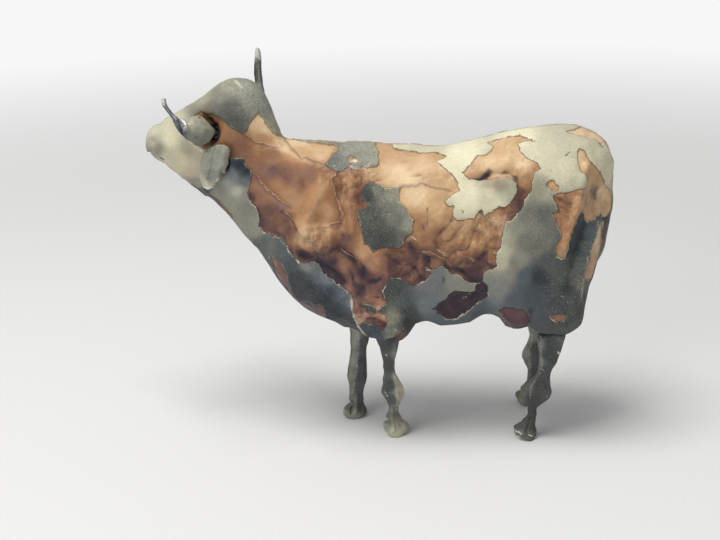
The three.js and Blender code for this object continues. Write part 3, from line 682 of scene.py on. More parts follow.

# small marks: path, reach in pixels, strength (bright above 0: pale flakes and painted highlights on lit
# lines and lips;
# dark below: scratches and painted shade in crevices)
smallMarks = [
    ([(235.5, 82), (238, 84), (241.5, 88)], 1.8, 0.75), ([(269, 95), (273, 105), (276, 116)], 1.4, 0.45),
    ([(597, 221), (594.5, 237), (587, 258), (582, 280), (579, 300)], 1.2, 0.42),
    ([(266, 232), (276, 236), (289, 247)], 1.0, 0.4), ([(338, 287), (349, 297), (352, 306)], 1.2, 0.45),
    ([(351, 302), (353, 311), (355, 319), (358, 325), (363, 330), (369, 335)], 1.0, 0.7),
    ([(373, 175), (377, 172)], 1.2, 0.5), ([(389, 214), (397, 224)], 0.8, 0.4),
    ([(406, 229), (408, 231)], 1.2, 0.6), ([(350, 166), (355, 169), (366, 167), (370, 163)], 1.5, 0.6),
    ([(333, 165), (336, 171)], 1.4, 0.4), ([(408, 239), (413, 237.5), (418, 239.5)], 1.6, 0.5),
    ([(437, 250), (445, 255)], 1.8, 0.36), ([(427, 269), (431, 272)], 1.8, 0.55),
    ([(451, 222.5), (456, 227)], 1.2, 0.3), ([(494, 219), (499, 224)], 2.2, 0.45),
    ([(493, 251), (497, 256)], 1.6, 0.45), ([(470, 258), (476, 262)], 1.5, 0.4),
    ([(464, 298), (470, 294)], 2, 0.3), ([(372, 185), (374, 188)], 1.2, 0.3),
    ([(303, 248), (318, 236)], 3, 0.3), ([(190, 141), (197, 148), (203, 152)], 2.2, 0.5),
    ([(441.5, 275), (443, 278), (444, 282)], 1.5, -0.7), ([(565, 156), (569, 152.5)], 1.4, -0.6),
    ([(598.5, 143.5), (602, 147)], 1.6, -0.6), ([(404, 316), (406, 323), (407, 329)], 2.4, -0.45),
    ([(500, 196), (503, 199)], 1.0, -0.4), ([(461, 210), (463, 212)], 1.0, -0.6),
    ([(203, 115.5), (210.5, 119), (215, 123.5)], 1.2, -0.6),
    ([(204, 99), (213, 103), (222, 107)], 5, -0.22), ([(391, 338), (398, 335.5)], 1.2, -0.8),
]

# where the paint is full of pale specks
speckTouches = [
    (262, 108, 1), (235, 90, 0.6), (205, 105, 0.3), (165, 135, 0.05), (185, 160, 0.05), (240, 200, 0.3),
    (262, 235, 0.3), (300, 275, 0.5), (335, 300, 0.5), (352, 152, 0.8), (368, 200, 1), (385, 225, 0.7),
    (405, 225, 0.3), (462, 154, 0.1), (470, 195, 0.05), (545, 155, 0.15), (590, 150, 0.3), (545, 240, 0.5),
    (565, 285, 0.9), (585, 240, 0.5), (510, 250, 0.15), (520, 300, 0.2), (430, 285, 0.2), (430, 310, 0.1),
    (375, 333, 0.9), (372, 307, 0.6), (393, 300, 0.8),
]

# how light the bare clay is round a few places: its own tone together with painted light, shade and
# highlights
clayTouches = [
    (162, 162, 0.12), (203, 113, 0.66), (300, 142, 0.98), (284, 144, 0.9), (300, 151, 0.78),
    (320, 150, 0.85), (274, 156, 0.48), (262, 125, 0.9), (266, 125, 1.1), (262, 140, 0.66),
    (240, 146, 0.42), (224, 135, 0.5), (388, 156, 0.76), (410, 160, 0.76), (385, 167, 0.8),
    (400, 176, 0.93), (422, 166, 0.82), (440, 188, 0.82), (416, 195, 0.92), (520, 165, 0.92),
    (300, 180, 0.42), (275, 175, 0.34), (287, 176, 0.33), (265, 176, 0.36), (312, 177, 0.43),
    (338, 178, 0.58), (333, 172, 0.46), (265, 195, 0.42), (320, 192, 0.68), (305, 225, 0.64),
    (320, 240, 0.56), (275, 215, 0.32), (290, 235, 0.32), (265, 215, 0.25), (350, 180, 0.5),
    (345, 200, 0.64), (349, 222, 0.56), (372, 262, 0.6), (395, 262, 0.28), (352, 275, 0.36),
    (372, 300, 0.45), (355, 310, 0.42), (435, 205, 0.8), (425, 225, 0.57), (455, 192, 0.78),
    (478, 224, 0.75), (460, 250, 0.6), (490, 240, 0.58), (470, 262, 0.42), (492, 258, 0.45),
    (420, 260, 0.34), (405, 272, 0.33), (400, 252, 0.34), (440, 262, 0.4), (500, 160, 0.86),
    (505, 148, 0.86), (525, 180, 0.63), (520, 195, 0.3), (515, 215, 0.32), (460, 302, 0), (450, 306, 0.05),
    (474, 294, 0.05), (481, 290, 0.05), (584, 160, 0.86), (595, 178, 0.74), (604, 200, 0.79),
    (563, 205, 0.5), (572, 200, 0.64), (563, 245, 0.62), (598, 235, 0.9), (592, 268, 0.7), (512, 322, 0.2),
    (590, 132, 1), (276, 262, 0.32), (310, 308, 0.2), (205, 192, 0.12), (325, 275, 0.1), (558, 317, 0.5),
    (357, 306, 0.42), (352.5, 160, 1), (448, 240, 0.7), (470, 238, 0.72), (460, 230, 0.76), (462, 262, 0.5),
    (450, 255, 0.54), (480, 236, 0.55), (436, 240, 0.44), (478, 262, 0.2), (403, 250, 0.42),
    (440, 262, 0.5), (335, 245, 0.26), (500, 222, 0.72), (418, 270, 0.4), (422, 224, 0.62),
    (275, 183, 0.52), (290, 197, 0.62), (320, 184, 0.6), (307, 231, 0.86), (316, 227, 0.66),
    (318, 235, 0.56), (334, 240, 0.34), (327, 230, 0.78), (312, 243, 0.62), (324, 243, 0.6),
    (331, 247, 0.24), (551, 184, 0.75), (350, 172, 0.52), (342, 178, 0.6), (347, 190, 0.64),
    (352, 198, 0.68), (358, 198, 0.34), (346, 212, 0.46), (332, 200, 0.5), (326, 209, 0.66),
    (318, 222, 0.54), (336, 225, 0.46), (330, 240, 0.68), (318, 251, 0.3), (326, 253, 0.3),
    (300, 240, 0.78), (296, 250, 0.34), (330, 262, 0.04), (341, 272, 0.44), (349, 288, 0.52),
    (345, 265, 0.42), (357, 280, 0.46), (364, 252, 0.72), (362, 240, 0.62), (361, 275, 0.1),
    (360, 291, 0.1), (346, 240, 0.34), (515, 172, 0.7), (525, 150, 0.86), (359, 314, 0.8), (365, 314, 0.74),
    (376, 315, 0.78), (383, 317.5, 0.76), (387.5, 322, 0.62), (374, 320, 0.26), (380, 322.5, 0.26),
    (384, 325.5, 0.2), (400, 333, 0.46), (391, 338.5, 0.02), (515, 317, 0.16), (607, 196, 0.9),
]

# dark soft stains, and painted shade in folds, grooves and the gap round the horn's plug: path, reach in
# pixels, strength
clayStains = [
    ([(446, 308), (462, 302), (474, 296), (486, 287)], 11, 0.9),
    ([(260, 165), (270, 167.5), (279, 172), (286, 178)], 1.8, 0.3),
    ([(250, 195), (259, 215), (262, 227), (282, 235), (292, 254)], 4, 0.6),
    ([(302, 256), (314, 259), (322, 265), (331, 272), (340, 282)], 6, 1),
    ([(340, 247), (346, 254), (355, 261), (361, 268), (362.5, 277), (370, 281), (381, 279)], 3, 0.85),
    ([(354, 286), (363, 287), (359, 296)], 3.5, 0.85), ([(336, 195), (341, 215), (339, 228)], 3, 0.4),
    ([(388, 255), (401, 266), (411, 266)], 2.5, 0.6),
    ([(409, 247), (416, 253), (423, 259), (425, 272), (421, 279)], 3.5, 0.65),
    ([(399, 279), (412, 271)], 2.5, 0.5), ([(429, 257), (441, 258), (452, 270), (460, 275)], 4, 0.5),
    ([(462, 262), (475, 268), (480, 278)], 7, 0.5),
    ([(474, 180.5), (483, 177.5), (490, 173.5), (500, 172), (510, 174.5), (517, 178.5)], 3, 0.85),
    ([(520, 190), (521, 200), (519, 212)], 5, 0.5), ([(596, 187), (597, 196)], 5, 0.7),
    ([(557, 196), (568, 203)], 4, 0.5), ([(411, 177), (421, 175), (423, 180), (429, 175)], 1.6, 0.35),
    ([(244, 133), (252, 143), (262, 150)], 5, 0.3), ([(429, 207), (428, 216), (428, 224)], 1.8, 0.42),
    ([(414, 221), (423, 225), (425, 236)], 3.2, 0.36),
    ([(453, 220), (448, 226), (441, 231), (435.5, 238), (437, 246)], 3, 0.52),
    ([(437, 243), (451, 246), (462, 249)], 2, 0.45),
    ([(408, 244), (415, 253), (427, 257), (428, 266), (430, 272)], 3.2, 0.8),
    ([(395, 260), (403, 266.5), (412, 265), (418, 275), (426, 279)], 2, 0.85),
    ([(412, 263), (411, 272)], 1.5, 0.6), ([(448, 269), (461, 272), (470, 278.5), (481, 281)], 4, 0.9),
    ([(484, 254), (476, 262), (470, 270), (476, 279)], 3.6, 0.7),
    ([(487, 252), (488, 264), (494, 267)], 2, 0.6), ([(465, 255), (468, 262)], 1.8, 0.5),
    ([(475, 223), (474, 231), (480, 233)], 1.8, 0.4), ([(480, 208), (481.5, 215)], 1.3, 0.5),
    ([(452, 250), (460, 258), (458, 266)], 3, 0.4),
    ([(298, 251), (308, 252), (318, 253), (327, 254), (336, 247)], 2.8, 0.6),
    ([(349, 269), (351.3, 277), (354, 284)], 1.8, 0.85), ([(341, 248), (336, 256), (334, 262)], 3, 0.6),
    ([(316, 229), (311, 238), (316, 247)], 1.4, 0.3), ([(325, 231), (321, 240), (330, 248)], 1.6, 0.4),
    ([(255, 205), (260, 216), (268, 222)], 2.2, 0.5), ([(280, 212), (290, 219.5), (297, 229)], 1.5, 0.5),
    ([(368, 319.5), (375, 319), (382, 323), (386, 326.5)], 2.0, 0.55), ([(372, 297), (379, 299)], 1.0, 0.6),
    ([(380, 291), (383.5, 299)], 1.5, 0.7), ([(344, 182), (347, 184)], 1.0, 0.5),
    ([(357, 187), (361, 189)], 1.2, 0.5),
    # a painted shadow in the gap round the left horn's plug
    ([
        (206, 113.5), (211, 118), (215.5, 123), (218.3, 129), (218.3, 135), (215.5, 140), (211, 145),
    ], 1.5, 1.0),
]

# larger forms under the skin: path, reach in pixels, mm raised
bodyForms = [
    ([(480, 179), (490, 174.5), (500, 172.5), (510, 174)], 4, -0.75),
    ([(478, 163), (492, 160), (508, 160)], 8, 0.75), ([(512, 222), (507, 250), (510, 282)], 9, 0.6),
    ([(543, 200), (545, 240), (552, 290)], 14, -0.75),
    ([(586, 165), (581, 190), (572, 225), (563, 255)], 4, 0.6),
    ([(596, 195), (588, 225), (579, 255), (571, 290)], 7, -0.75),
    ([(331, 178), (318, 200), (304, 228)], 7, 0.9), ([(308, 185), (296, 205), (288, 225)], 9, -0.6),
    ([(312, 236), (325, 242)], 8, 1.05),
    ([(303, 233), (309, 227), (320, 226), (330, 230), (334, 238)], 2.4, 0.33),
    ([(306, 243), (315, 249), (327, 250), (334, 244)], 2.4, 0.3),
    ([(315, 229), (310, 238), (315, 246)], 1.8, -0.3), ([(325, 231), (321, 240), (329, 248)], 1.8, -0.33),
    ([(262, 150), (285, 152), (310, 165)], 7, 0.525),
    ([(250, 172), (259, 181), (274, 196), (288, 208)], 3, -0.45),
    ([(344, 180), (341, 200), (343, 225)], 4, -0.525), ([(354, 180), (351, 205), (353, 232)], 6, 0.525),
    ([(303, 256), (322, 268), (338, 280), (352, 296)], 6, -1.05),
    ([(340, 247), (352, 259), (362, 272), (372, 280)], 3.5, -0.675),
    ([(400, 262), (430, 264), (470, 272)], 12, -0.525), ([(372, 330), (392, 332)], 9, 0.675),
    ([(597, 221), (594.5, 237), (587, 258), (582, 280), (579, 302)], 1.8, 0.42),
    ([(588, 222), (583, 240), (576, 262), (571, 284)], 4.5, -0.525),
    ([(531, 311), (531.5, 319), (529.5, 328)], 2.0, -0.75), ([(506, 314), (515, 319), (523, 318)], 6, 0.6),
    ([(357, 309), (362, 316), (370, 318)], 4, 0.45), ([(368, 319.5), (376, 319.5), (385, 325)], 2.2, -0.6),
    ([(150, 152), (156, 157), (162, 161)], 2.2, -0.45), ([(152, 141), (154, 143)], 2.4, -0.45),
]

# how deep the skin is crumpled, in mm, round a few places
crumpleTouches = [
    (280, 190, 0.07), (240, 146, 0.08), (300, 142, 0.06), (350, 182, 0.26), (358, 196, 0.24),
    (345, 215, 0.14), (345, 225, 0.15), (328, 205, 0.08), (318, 240, 0.14), (362, 240, 0.1),
    (372, 265, 0.14), (345, 270, 0.16), (358, 300, 0.2), (402, 268, 0.32), (430, 262, 0.26),
    (460, 252, 0.26), (482, 232, 0.22), (430, 228, 0.13), (435, 200, 0.11), (400, 165, 0.08),
    (462, 200, 0.15), (500, 155, 0.12), (525, 180, 0.16), (520, 205, 0.24), (570, 200, 0.2),
    (595, 180, 0.13), (600, 240, 0.12), (460, 302, 0.22), (270, 225, 0.16), (300, 245, 0.16),
    (512, 320, 0.04), (205, 195, 0.08), (280, 275, 0.2),
]

# how much of the clay is darkened in black blotches
smudgeTouches = [
    (300, 190, 0), (320, 220, 0.15), (345, 200, 0.1), (400, 170, 0), (430, 200, 0), (500, 150, 0),
    (590, 180, 0.1), (275, 225, 0.2), (345, 262, 0.3), (370, 262, 0.1), (362, 292, 0.5), (400, 262, 0.3),
    (425, 262, 0.5), (420, 230, 0.1), (440, 225, 0.1), (450, 245, 0.2), (470, 235, 0.1), (477, 269, 1),
    (455, 262, 0.2), (490, 225, 0.4), (495, 255, 0.5), (518, 200, 0.5), (530, 180, 0.1), (460, 302, 0.8),
    (375, 322, 0.7), (560, 215, 0.2), (320, 250, 0.6),
]

# thin wrinkles in the clay's skin: a lit line with a shade on one side
clayWrinkles = [
    [(245, 132), (248, 135.5), (255.5, 142), (263.5, 143.5), (271, 146), (274.5, 147.5)],
    [(286, 140), (291.5, 147), (297.5, 153), (302.5, 158.5)],
    [(306, 157.5), (313, 160.5), (320.5, 161.5), (324.5, 164.5)],
    [(252.5, 173), (256.5, 176), (259.5, 181), (265.5, 189), (274, 195.5), (280, 200.5), (286, 205)],
    [(342, 214.5), (339, 203), (335.5, 194), (335, 186.5), (331.5, 180.5), (336, 175)],
    [(285.5, 213), (291, 220), (297, 226.5), (302.5, 231.5)],
    [(341, 248.5), (346, 253.5), (354, 258), (359, 264)],
    [(447, 191), (437, 189.5), (425.5, 186.5), (421, 183.5), (417, 187), (410.5, 187.5), (401, 187.5)],
    [(448, 262), (440, 257), (429, 252.5), (421, 252)], [(326, 225.5), (332, 223.5), (339, 222)],
]

# mm across of each pattern, and a shift that keeps any two of them apart
patterns = {
    "largeIslands": (15, 31.7),
    "smallIslands": (6.5, 12.1),
    "mottling": (9, 4.4),
    "stainPatches": (1.7, 21.0),
    "unseenFolds": (8, 77.0),
    "pads": (4.4, 9.3),
    "creases": (1.9, 55.1),
    "scuffs": (2.3, 6.1),
    "fineScuffs": (1.1, 2.2),
}


def paintEdgeInPhoto(pixels):
    # mm inside the paint's edge, and below 0 on bare clay
    edge = np.full(len(pixels), -99.0)
    for kind, _, outline in paintOutlines:
        inside = insideOutline(pixels, outline) / pixelsPerMm
        edge = np.maximum(edge, inside) if kind == "paint" else np.minimum(edge, -inside)
    return edge


def edgeFacing(pixels, reach=1.5):
    # 1 on a lower edge of the paint, -1 on an upper one
    below = paintEdgeInPhoto(pixels + (0, reach))
    above = paintEdgeInPhoto(pixels - (0, reach))
    return np.clip((above - below) * pixelsPerMm / (2 * reach), -1, 1)


def paintEdgeUnseen(points):
    # islands, and paint that lasts on the head, the belly and the rump
    low, high = np.array(bodyLow), np.array(bodyHigh)
    along, _, height = ((points - low) / (high - low)).T
    island = grain(points, *patterns["largeIslands"]) * 7 + grain(points, *patterns["smallIslands"]) * 3
    lasting = 3.4 * ramp(0.4, 0.18, along) + 2.2 * ramp(0.45, 0.1, height) + 1.4 * ramp(0.72, 0.9, along)
    return island + lasting - 0.9


def shapeTail(points, normals):
    tail = clayRelief["tail"]
    rear = points[points[:, 0] > bodyHigh.x - tail["rearDepth"] * mm]
    aside = np.abs(points[:, 1] - np.median(rear[:, 1])) / mm
    ridge = tail["ridge"] * ramp(tail["halfWidth"] + 0.9, tail["halfWidth"] - 0.9, aside)
    groove = tail["groove"] * np.exp(-(((aside - tail["grooveAt"]) / tail["grooveReach"]) ** 2))
    height = points[:, 2] / mm
    reach = ramp(0.25, 0.7, normals[:, 0]) * ramp(tail["low"], tail["low"] + 6, height)
    return (ridge - groove) * reach * ramp(tail["high"], tail["high"] - 12, height)


def findTones(points, pixels, seen, mottled, hollow):
    height = (points[:, 2] - bodyLow.z) / (bodyHigh.z - bodyLow.z)
    paintLight, paintCool = nearestTouches(pixels, paintTouches)
    (clayLight,) = nearestTouches(pixels, clayTouches)
    (specks,) = nearestTouches(pixels, speckTouches)
    (smudge,) = nearestTouches(pixels, smudgeTouches)
    # on the unseen side the paint and clay grow lighter towards the top as painted light, and the paint
    # cooler towards the bottom as a painted cool reflection
    unseenClay = np.clip(0.2 + 0.6 * height + mottled, 0.05, 0.9)
    return {
        "paintLight": bothSides(seen, paintLight, np.clip(0.22 + 0.5 * height + mottled, 0.1, 0.9)),
        "paintCool": bothSides(seen, paintCool, ramp(0.5, 0.1, height) * 0.5),
        # clay in the hollow is darkened to black as painted shade
        "clayLight": bothSides(seen, clayLight, unseenClay) * (1 - hollow),
        "specks": bothSides(seen, specks, np.clip(0.5 + 2 * mottled, 0, 1)),
        "smudge": smudge * seen,
        # a painted cool reflection, bluer towards the bottom of the clay
        "mauve": seen * ramp(*clayRelief["mauveRows"], pixels[:, 1]),
        "marks": sumOfStrokes(pixels, smallMarks) * seen,
    }


def findStains(points, seen):
    wandering = toPhoto(stirred(stirred(points, 2.4, 0.55), 0.9, 0.25))
    patchy = np.clip(1 + 0.9 * grain(points, *patterns["stainPatches"]), 0.4, 1.4)
    stain = np.minimum(strongestStroke(wandering, clayStains) * seen * patchy, 1)
    folds = np.abs(grain(stirred(points, 6, 1.5), *patterns["unseenFolds"]))
    return np.maximum(stain, (1 - seen) * 0.5 * ramp(0.05, 0.0, folds))


def fromWrinkles(pixels, seen, farthest=9.0):
    # mm from the nearest wrinkle, with a sign that tells its side
    nearest = np.full(len(pixels), farthest)
    for path in clayWrinkles:
        away, side = fromPath(pixels, path)
        closer = away < np.abs(nearest) * pixelsPerMm
        nearest[closer] = (away * side)[closer] / pixelsPerMm
    return np.where(seen > 0.5, nearest, farthest)


def makeCowBody():
    relief = clayRelief
    piece = copyOfNode("clay_body", "cowBody")
    refine(piece, relief["voxels"])
    print("clay body refined:", len(piece.data.vertices), "points")
    points, _ = readMesh(piece)
    for across, side, targets, reach in bodyEdges:
        points = fitEdge(points, across, side, targets, reach)
    moveMesh(piece, points)
    points, normals = readMesh(piece)
    pixels = toPhoto(points)
    seen = ramp(*relief["seenFrom"], facingCamera(points, normals))
    mottled = grain(points, *patterns["mottling"]) * 0.3
    fromHorn = np.linalg.norm(points - np.mean(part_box("left_horn_plaster"), axis=0), axis=1) / mm
    hollow = ramp(*relief["hornHollow"], fromHorn)

    edge = bothSides(seen, paintEdgeInPhoto(pixels), paintEdgeUnseen(points))
    edge = np.clip(edge, -relief["edgeLimit"], relief["edgeLimit"])
    edge = np.where(hollow > 0, np.minimum(edge, relief["hollowEdge"]), edge)
    bare = ramp(0.1, -0.25, edge)
    stain = findStains(points, seen)
    (crumple,) = nearestTouches(pixels, crumpleTouches)
    crumple = bothSides(seen, crumple, relief["unseenCrumple"] * (1 + 2 * mottled))
    pads = np.abs(grain(stirred(points, 4.0, 1.6), *patterns["pads"]))
    creases = np.abs(grain(stirred(points, 2.0, 0.7), *patterns["creases"]))
    # darker lines in the cracks between the clay's crumpled pads, part dark vein and part painted shade
    crevice = np.maximum(ramp(0.11, 0.01, pads), 0.7 * ramp(0.11, 0.0, creases)) * ramp(0.1, 0.3, crumple)
    rough = nearPath(pixels, relief["scuffPath"], relief["scuffReach"]) * seen

    lift = relief["paintThickness"] * ramp(-0.2, 0.2, edge)
    lift += handMarks(points, relief["handMarks"])
    lift += sumOfStrokes(pixels, bodyForms) * seen
    lift += bare * crumple * (3.8 * np.minimum(pads, 0.35) + 1.8 * np.minimum(creases, 0.3) - 0.9)
    for pattern, depth in relief["scuffs"]:
        lift += rough * depth * np.abs(grain(points, *patterns[pattern]))
    lift -= relief["stainDepth"] * stain * bare
    lift += shapeTail(points, normals)
    moveMesh(piece, points + normals * lift[:, None] * mm)
    storeOnPoints(
        piece, paintEdge=edge, edgeFacing=seen * edgeFacing(pixels), wrinkleAway=fromWrinkles(pixels, seen),
        stain=stain, crumple=crumple, crevice=crevice, rough=rough,
        **findTones(points, pixels, seen, mottled, hollow),
    )
    finishPiece(piece, "clay_body", makePaintedClay())
    triangles = sum(len(face.vertices) - 2 for face in piece.data.polygons)
    print("clay body sculpted and painted,", triangles, "triangles")


clayLook = {
    "noises": {  # mm across, detail and roughness
        "wobble": (1.1, 3.0, 0.6),
        "nibble": (0.3, 2.0, 0.6),
        "broken": (2.1, 2.0, 0.5),
        "uneven": (2.6, 4.0, 0.6),
        "pits": (0.42, 2.0, 0.5),
        "ragged": (0.3, 2.0, 0.6),
        "cloudy": (4.0, 6.0, 0.68),
        "pocks": (0.55, 3.0, 0.65),
        "frayed": (0.8, 4.0, 0.7),
        "burnt": (2.2, 5.0, 0.7),
        "smudges": (2.8, 6.0, 0.74),
        "wander": (1.4, 2.0, 0.5),
    },
    "speckleSize": 0.24,
    "shine": 0.36,
    "bump": 0.9,
    # from the darkest tone to the palest, the dark end serving as painted shade and the pale end as painted
    # light
    "paintTones": [(0.0, (0.02, 0.022, 0.022)), (0.25, (0.10, 0.104, 0.088)), (0.5, (0.27, 0.26, 0.20)),
                   (0.75, (0.52, 0.49, 0.35)), (1.0, (0.82, 0.76, 0.53))],
    "clayTones": [(0.0, (0.014, 0.010, 0.024)), (0.3, (0.133, 0.058, 0.043)), (0.55, (0.325, 0.158, 0.070)),
                  (0.8, (0.57, 0.365, 0.188)), (1.0, (0.80, 0.60, 0.37))],
    "paintDots": [(0.0, (0.5, 0.5, 0.48)), (1.0, (1.35, 1.35, 1.3))],
    "pockTones": [(0.3, (0.6, 0.56, 0.55)), (0.65, (1.2, 1.2, 1.2))],
    # tints that multiply what is below them
    "warm": (1.12, 0.9, 0.84),
    # a painted cool reflection
    "cool": (0.72, 0.88, 1.3),
    "mauve": (0.98, 0.99, 1.3),
    # colours laid over the paint, then over the clay, then over both
    "fleck": (0.66, 0.64, 0.52),
    "pit": (0.06, 0.055, 0.045),
    "rim": (0.66, 0.60, 0.42),
    "stain": (0.028, 0.019, 0.031),
    "smudge": (0.062, 0.032, 0.03),
    "dust": (0.7, 0.6, 0.48),
    "burnt": (0.05, 0.022, 0.02),
    "crevice": (0.075, 0.032, 0.025),
    "sand": (0.62, 0.42, 0.26),
    "wrinkleShade": (0.09, 0.045, 0.035),
    "wrinkleLine": (0.60, 0.40, 0.25),
    "paintShade": (0.045, 0.026, 0.022),
    "glint": (0.66, 0.62, 0.5),
    "nick": (0.035, 0.03, 0.028),
}


def makePaintedClay():
    material, desk, shader, where = newMaterial("paintedClay")
    look = clayLook
    noises = desk.noises(where, look["noises"])
    fine, flecks = speckle(desk, where, look["speckleSize"])
    edge = desk.plus(
        desk.attribute("paintEdge"), desk.swing(noises["wobble"], 1.0), desk.swing(noises["nibble"], 0.3)
    )
    painted = desk.step(edge, -0.04, 0.04)
    facing = desk.attribute("edgeFacing")

    # the paint: its tone with painted light and shade, its tint with a painted cool reflection, specks, pits
    # and a lit rim, a painted highlight strongest on upper edges
    specks = desk.attribute("specks")
    cool = desk.attribute("paintCool")
    uneven = desk.swing(noises["uneven"], desk.step(specks, 0.0, 1.0, 0.12, 0.3))
    rim = desk.times(
        desk.band(edge, (0.0, 0.05), (0.22, 0.1)), desk.step(noises["broken"], 0.45, 0.62),
        desk.step(facing, 0.6, -0.6, 0.25, 0.85),
    )
    paint = desk.layers(
        desk.blendColours(desk.plus(desk.attribute("paintLight"), uneven), look["paintTones"]),
        (desk.step(cool, 0.0, -1.0), look["warm"], "MULTIPLY"),
        (desk.step(cool, 0.0, 1.0, 0.0, 0.8), look["cool"], "MULTIPLY"),
        (desk.step(specks, 0.0, 0.8, 0.2, 0.7), desk.blendColours(fine, look["paintDots"]), "MULTIPLY"),
        (desk.times(flecks, desk.step(specks, 0.0, 1.0, 0.03, 0.7)), look["fleck"]),
        (desk.times(desk.step(noises["pits"], 0.32, 0.27), 0.6), look["pit"]),
        (rim, look["rim"]),
    )

    # the clay: its tone with painted light and shade, a painted cool reflection low down, stains and painted
    # shade in folds, pocks, black blotches, cracks darkened as veins and painted shade, and wrinkles with a
    # painted lit line and shade
    crumple = desk.step(desk.attribute("crumple"), 0.05, 0.28)
    cloudy = desk.swing(noises["cloudy"], desk.step(crumple, 0.0, 1.0, 0.3, 1.0))
    stain = desk.attribute("stain")
    vein = desk.times(
        desk.step(desk.plus(stain, desk.swing(noises["frayed"], 0.5)), 0.2, 0.52), desk.step(stain, 0.04, 0.3)
    )
    stained = desk.times(stain, desk.step(vein, 0.0, 1.0, 0.4, 1.1), clamp=True)
    smudge = desk.times(desk.step(noises["smudges"], 0.47, 0.6), desk.attribute("smudge"))
    pocked = desk.blendColours(noises["pocks"], look["pockTones"])
    crevice = desk.attribute("crevice")
    burnt = desk.step(noises["burnt"], 0.5, 0.66)
    wrinkle = desk.plus(desk.attribute("wrinkleAway"), desk.swing(noises["wander"], 1.2))
    wrinkleShade = desk.band(wrinkle, (0.0, 0.12), (0.9, 0.15))
    wrinkleLine = desk.step(desk.maths("ABSOLUTE", wrinkle), 0.14, 0.04)
    paintShade = desk.times(
        desk.band(edge, (0.0, -0.05), (-0.36, -0.08)), desk.step(facing, -0.7, 0.7, 0.3, 0.7)
    )
    clay = desk.layers(
        desk.blendColours(desk.plus(desk.attribute("clayLight"), cloudy), look["clayTones"]),
        (desk.attribute("mauve"), look["mauve"], "MULTIPLY"),
        (stained, look["stain"]),
        (desk.step(crumple, 0.0, 1.0, 0.16, 0.6), pocked, "MULTIPLY"),
        (desk.times(smudge, 0.8), look["smudge"]),
        (desk.times(flecks, 0.12), look["dust"]),
        (desk.times(burnt, crevice, 0.85), look["burnt"]),
        (desk.times(crevice, 0.62), look["crevice"]),
        (desk.times(desk.attribute("rough"), desk.step(fine, 0.45, 0.9, 0.0, 0.3)), look["sand"]),
        # a painted shade beside each wrinkle and a painted highlight along it
        (desk.times(wrinkleShade, 0.55), look["wrinkleShade"]),
        (desk.times(wrinkleLine, 0.45), look["wrinkleLine"]),
        (paintShade, look["paintShade"]),
    )

    # small marks over both: pale flakes and painted highlights, dark scratches and painted shade in crevices
    marks = desk.attribute("marks")
    ragged = desk.plus(marks, desk.swing(noises["ragged"], 1.9))
    glint = desk.times(desk.step(ragged, 0.25, 0.7), desk.step(marks, 0.05, 0.3), 0.7)
    nick = desk.times(desk.step(ragged, -0.3, -0.6), desk.step(marks, -0.05, -0.3), 0.8)
    surface = desk.layers(desk.mix(painted, clay, paint), (glint, look["glint"]), (nick, look["nick"]))
    desk.feed(shader, "Base Color", surface)
    clayRough = desk.plus(desk.step(noises["cloudy"], 0.35, 0.65, 0.33, 0.5), desk.times(stain, 0.3))
    paintRough = desk.step(fine, 0.0, 1.0, 0.6, 0.78)
    desk.feed(shader, "Roughness", desk.mixValues(painted, clayRough, paintRough))
    desk.feed(shader, "Specular IOR Level", look["shine"])
    height = desk.plus(
        desk.times(desk.step(edge, -0.1, 0.1), 0.13),
        desk.times(fine, painted, 0.035),
        desk.times(noises["cloudy"], desk.step(crumple, 0.0, 1.0, 0.1, 0.34)),
        desk.times(noises["pocks"], desk.step(crumple, 0.0, 1.0, 0.02, 0.07)),
        desk.times(wrinkleLine, 0.07),
    )
    desk.bump(shader, height, look["bump"])
    return material


makeCowBody()
